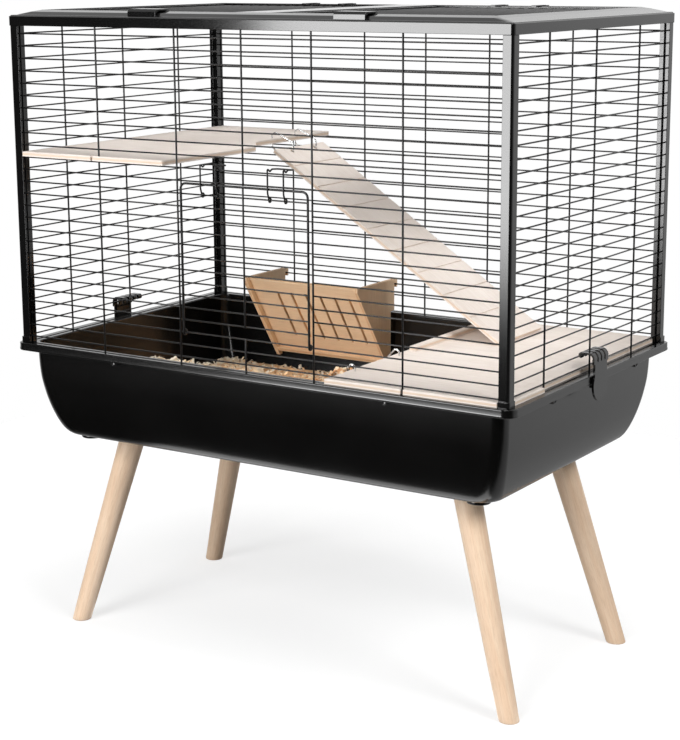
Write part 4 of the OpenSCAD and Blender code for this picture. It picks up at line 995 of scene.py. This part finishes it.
def shaving(rng, centre, kind, length):
    """A thin bent strip of wood with ragged edges: vertices, faces, and the vertices laid flat."""
    n = 9 if kind == "curl" else 6
    turn = rng.uniform(3.2, 7.5) if kind == "curl" else rng.uniform(0.2, 1.9)
    width = rng.uniform(2.0, 5.5)
    if kind == "curl":
        length *= 1.5
    radius = length / turn
    s = np.linspace(-0.5, 0.5, n)
    a = s * turn
    grow = 1 + 0.25 * (s + 0.5)
    x = radius * np.sin(a) * grow
    z = radius * (1 - np.cos(a)) * grow
    w = width * (0.55 + 0.45 * np.sqrt(np.clip(1 - (2 * s) ** 4, 0, 1))) / 2
    drift = rng.uniform(-0.35, 0.35) * length * s
    left = np.column_stack([x, drift - w * rng.uniform(0.8, 1.2, n), z])
    mid = np.column_stack([x, drift, z - 0.25])
    right = np.column_stack([x, drift + w * rng.uniform(0.8, 1.2, n), z])
    local = np.vstack([left, mid, right])
    local[:, 2] -= local[:, 2].mean()
    flat = np.vstack([np.column_stack([s * length, q[:, 1], np.zeros(n)]) for q in (left, mid, right)])
    yaw = rng.uniform(0, 2 * math.pi)
    pitch, roll = rng.normal(0, 0.36, 2)
    if rng.random() < 0.5:
        roll += math.pi
    turned = Matrix.Rotation(yaw, 3, "Z") @ Matrix.Rotation(pitch, 3, "Y") @ Matrix.Rotation(roll, 3, "X")
    verts = local @ np.array(turned).T + centre
    starts = [row * n + i for row in (0, 1) for i in range(n - 1)]
    return verts, [[k, k + 1, k + n + 1, k + n] for k in starts], flat


build_tray()
for sy, end in ((-1, "front"), (1, "back")):
    for sx, side in ((-1, "left"), (1, "right")):
        build_leg(f"leg_{end}_{side}", sx, sy)
build_grilles()
build_door()
build_roof_grids()
build_boards()
build_plastics()
build_fixings()
build_rings()
build_bedding()


# ---- Studio: floor, world, lamps and camera ----

def build_floor():
    mesh = bpy.data.meshes.new("floor")
    s = 1.25
    mesh.from_pydata([(-s, -s, 0), (s, -s, 0), (s, s, 0), (-s, s, 0)], [], [(0, 1, 2, 3)])
    floor = bpy.data.objects.new("floor", mesh)
    bpy.context.scene.collection.objects.link(floor)
    mat, nodes, links, shader = new_material("floor_white")
    shader.inputs["Base Color"].default_value = (0.4, 0.4, 0.4, 1)
    shader.inputs["Roughness"].default_value = 0.9
    shader.inputs["Specular IOR Level"].default_value = 0.0
    # It looks white to the camera, and throws less light up than white paper would
    path = nodes.new("ShaderNodeLightPath")
    glow = nodes.new("ShaderNodeEmission")
    add = nodes.new("ShaderNodeAddShader")
    strength = combined(nodes, links, "MULTIPLY", path.outputs["Is Camera Ray"], 0.68)
    links.new(strength, glow.inputs["Strength"])
    links.new(shader.outputs[0], add.inputs[0])
    links.new(glow.outputs[0], add.inputs[1])
    out = next(n for n in nodes if n.type == "OUTPUT_MATERIAL")
    links.new(add.outputs[0], out.inputs[0])
    mesh.materials.append(mat)
    floor.visible_glossy = False


def build_world():
    """White behind the cage and dark in front of it, as in a studio. The camera sees white all round."""
    world = bpy.data.worlds.new("studio")
    bpy.context.scene.world = world
    world.use_nodes = True
    nodes, links = world.node_tree.nodes, world.node_tree.links
    nodes.clear()
    out = nodes.new("ShaderNodeOutputWorld")
    back = nodes.new("ShaderNodeBackground")
    back.inputs["Color"].default_value = (1, 1, 1, 1)
    links.new(back.outputs[0], out.inputs[0])
    parts = nodes.new("ShaderNodeSeparateXYZ")
    links.new(nodes.new("ShaderNodeTexCoord").outputs["Generated"], parts.inputs[0])
    behind = spread(nodes, links, parts.outputs["Y"], 0.035, 1.0, -0.25, 0.2, "SMOOTHSTEP")
    above = spread(nodes, links, parts.outputs["Z"], 0.5, 1.0, -0.4, 0.0)
    # Reflections show it at full strength, and it lights the cage at less
    path = nodes.new("ShaderNodeLightPath")
    shine = spread(nodes, links, path.outputs["Is Glossy Ray"], 0.45, 1.0)
    lit = combined(nodes, links, "MULTIPLY", combined(nodes, links, "MULTIPLY", behind, above), shine)
    level = combined(nodes, links, "MAXIMUM", lit, path.outputs["Is Camera Ray"])
    links.new(level, back.inputs["Strength"])


def area(name, at, aim, size, power, gloss=True, diffuse=True):
    """An area lamp in metres and watts, which can be left out of reflections or light nothing but them."""
    light = bpy.data.lights.new(name, "AREA")
    light.shape = "RECTANGLE"
    light.size, light.size_y = size
    light.energy = power
    obj = bpy.data.objects.new(name, light)
    bpy.context.scene.collection.objects.link(obj)
    obj.location = at
    obj.rotation_euler = (Vector(aim) - Vector(at)).to_track_quat("-Z", "Y").to_euler()
    obj.visible_camera = False
    obj.visible_glossy = gloss
    obj.visible_diffuse = diffuse


# The photograph's camera, found from the cage's corners in the picture of 680 by 740 pixels
PICTURE = (680, 740)
CAMERA_AT = (1.3394, -2.0875, 0.9368)
YAW, PITCH_DOWN, ROLL = math.radians(32.649), math.radians(12.237), math.radians(-0.31)
FOCAL_PX = 1830.5
CENTRE_PX = (343.3, 357.4)


def build_camera():
    level = math.cos(PITCH_DOWN)
    ahead = Vector((-math.sin(YAW) * level, math.cos(YAW) * level, -math.sin(PITCH_DOWN)))
    right = ahead.cross(Vector((0, 0, 1))).normalized()
    up = right.cross(ahead)
    r2 = right * math.cos(ROLL) + up * math.sin(ROLL)
    u2 = -right * math.sin(ROLL) + up * math.cos(ROLL)
    data = bpy.data.cameras.new("camera")
    cam = bpy.data.objects.new("camera", data)
    bpy.context.scene.collection.objects.link(cam)
    cam.matrix_world = Matrix(((r2.x, u2.x, -ahead.x, CAMERA_AT[0]), (r2.y, u2.y, -ahead.y, CAMERA_AT[1]),
                               (r2.z, u2.z, -ahead.z, CAMERA_AT[2]), (0, 0, 0, 1)))
    data.sensor_fit = "VERTICAL"
    data.sensor_height = 24.0
    data.sensor_width = 24.0
    data.lens = FOCAL_PX * data.sensor_height / PICTURE[1]
    data.shift_x = (PICTURE[0] / 2 - CENTRE_PX[0]) / PICTURE[1]
    data.shift_y = (CENTRE_PX[1] - PICTURE[1] / 2) / PICTURE[1]
    data.clip_start = 0.05
    bpy.context.scene.camera = cam


bpy.context.scene.view_settings.view_transform = "Standard"
build_floor()
build_world()
# A tall softbox on the left, whose lower end fades out, shines in the plastic
BOX_X, BOX_Y, BOX_W, STRIP = -0.795, -2.1, 0.99, 0.06
area("softbox", (BOX_X, BOX_Y, 0.97), (BOX_X, 0, 0.97), (BOX_W, 1.2), 54.0, diffuse=False)
for k, share in enumerate((0.06, 0.24, 0.5, 0.76, 0.94)):
    z = 0.1 + STRIP * k
    area(f"softbox_end_{k}", (BOX_X, BOX_Y, z), (BOX_X, 0, z), (BOX_W, STRIP), 2.7 * share, diffuse=False)
FRONT_AIM, WIDE = (0, 0, 0.45), (1.4, 1.4)
area("fill_low", (-1.0, -3.2, 1.15), FRONT_AIM, WIDE, 66.0, gloss=False)
area("fill_high", (0.3, -3.8, 3.2), FRONT_AIM, WIDE, 92.0, gloss=False)
area("side", (3.3, -0.9, 3.0), (0.1, 0, 0.5), WIDE, 92.0, gloss=False)
area("top", (0.4, -0.3, 5.0), (0.1, 0, 0.4), (1.4, 1.2), 84.0)
# The pale paper close under the cage, seen in the tray's lower edge
area("paper", (0.0, -0.22, 0.002), (0.0, -0.22, 1.0), (0.8, 0.2), 1.1, diffuse=False)
build_camera()
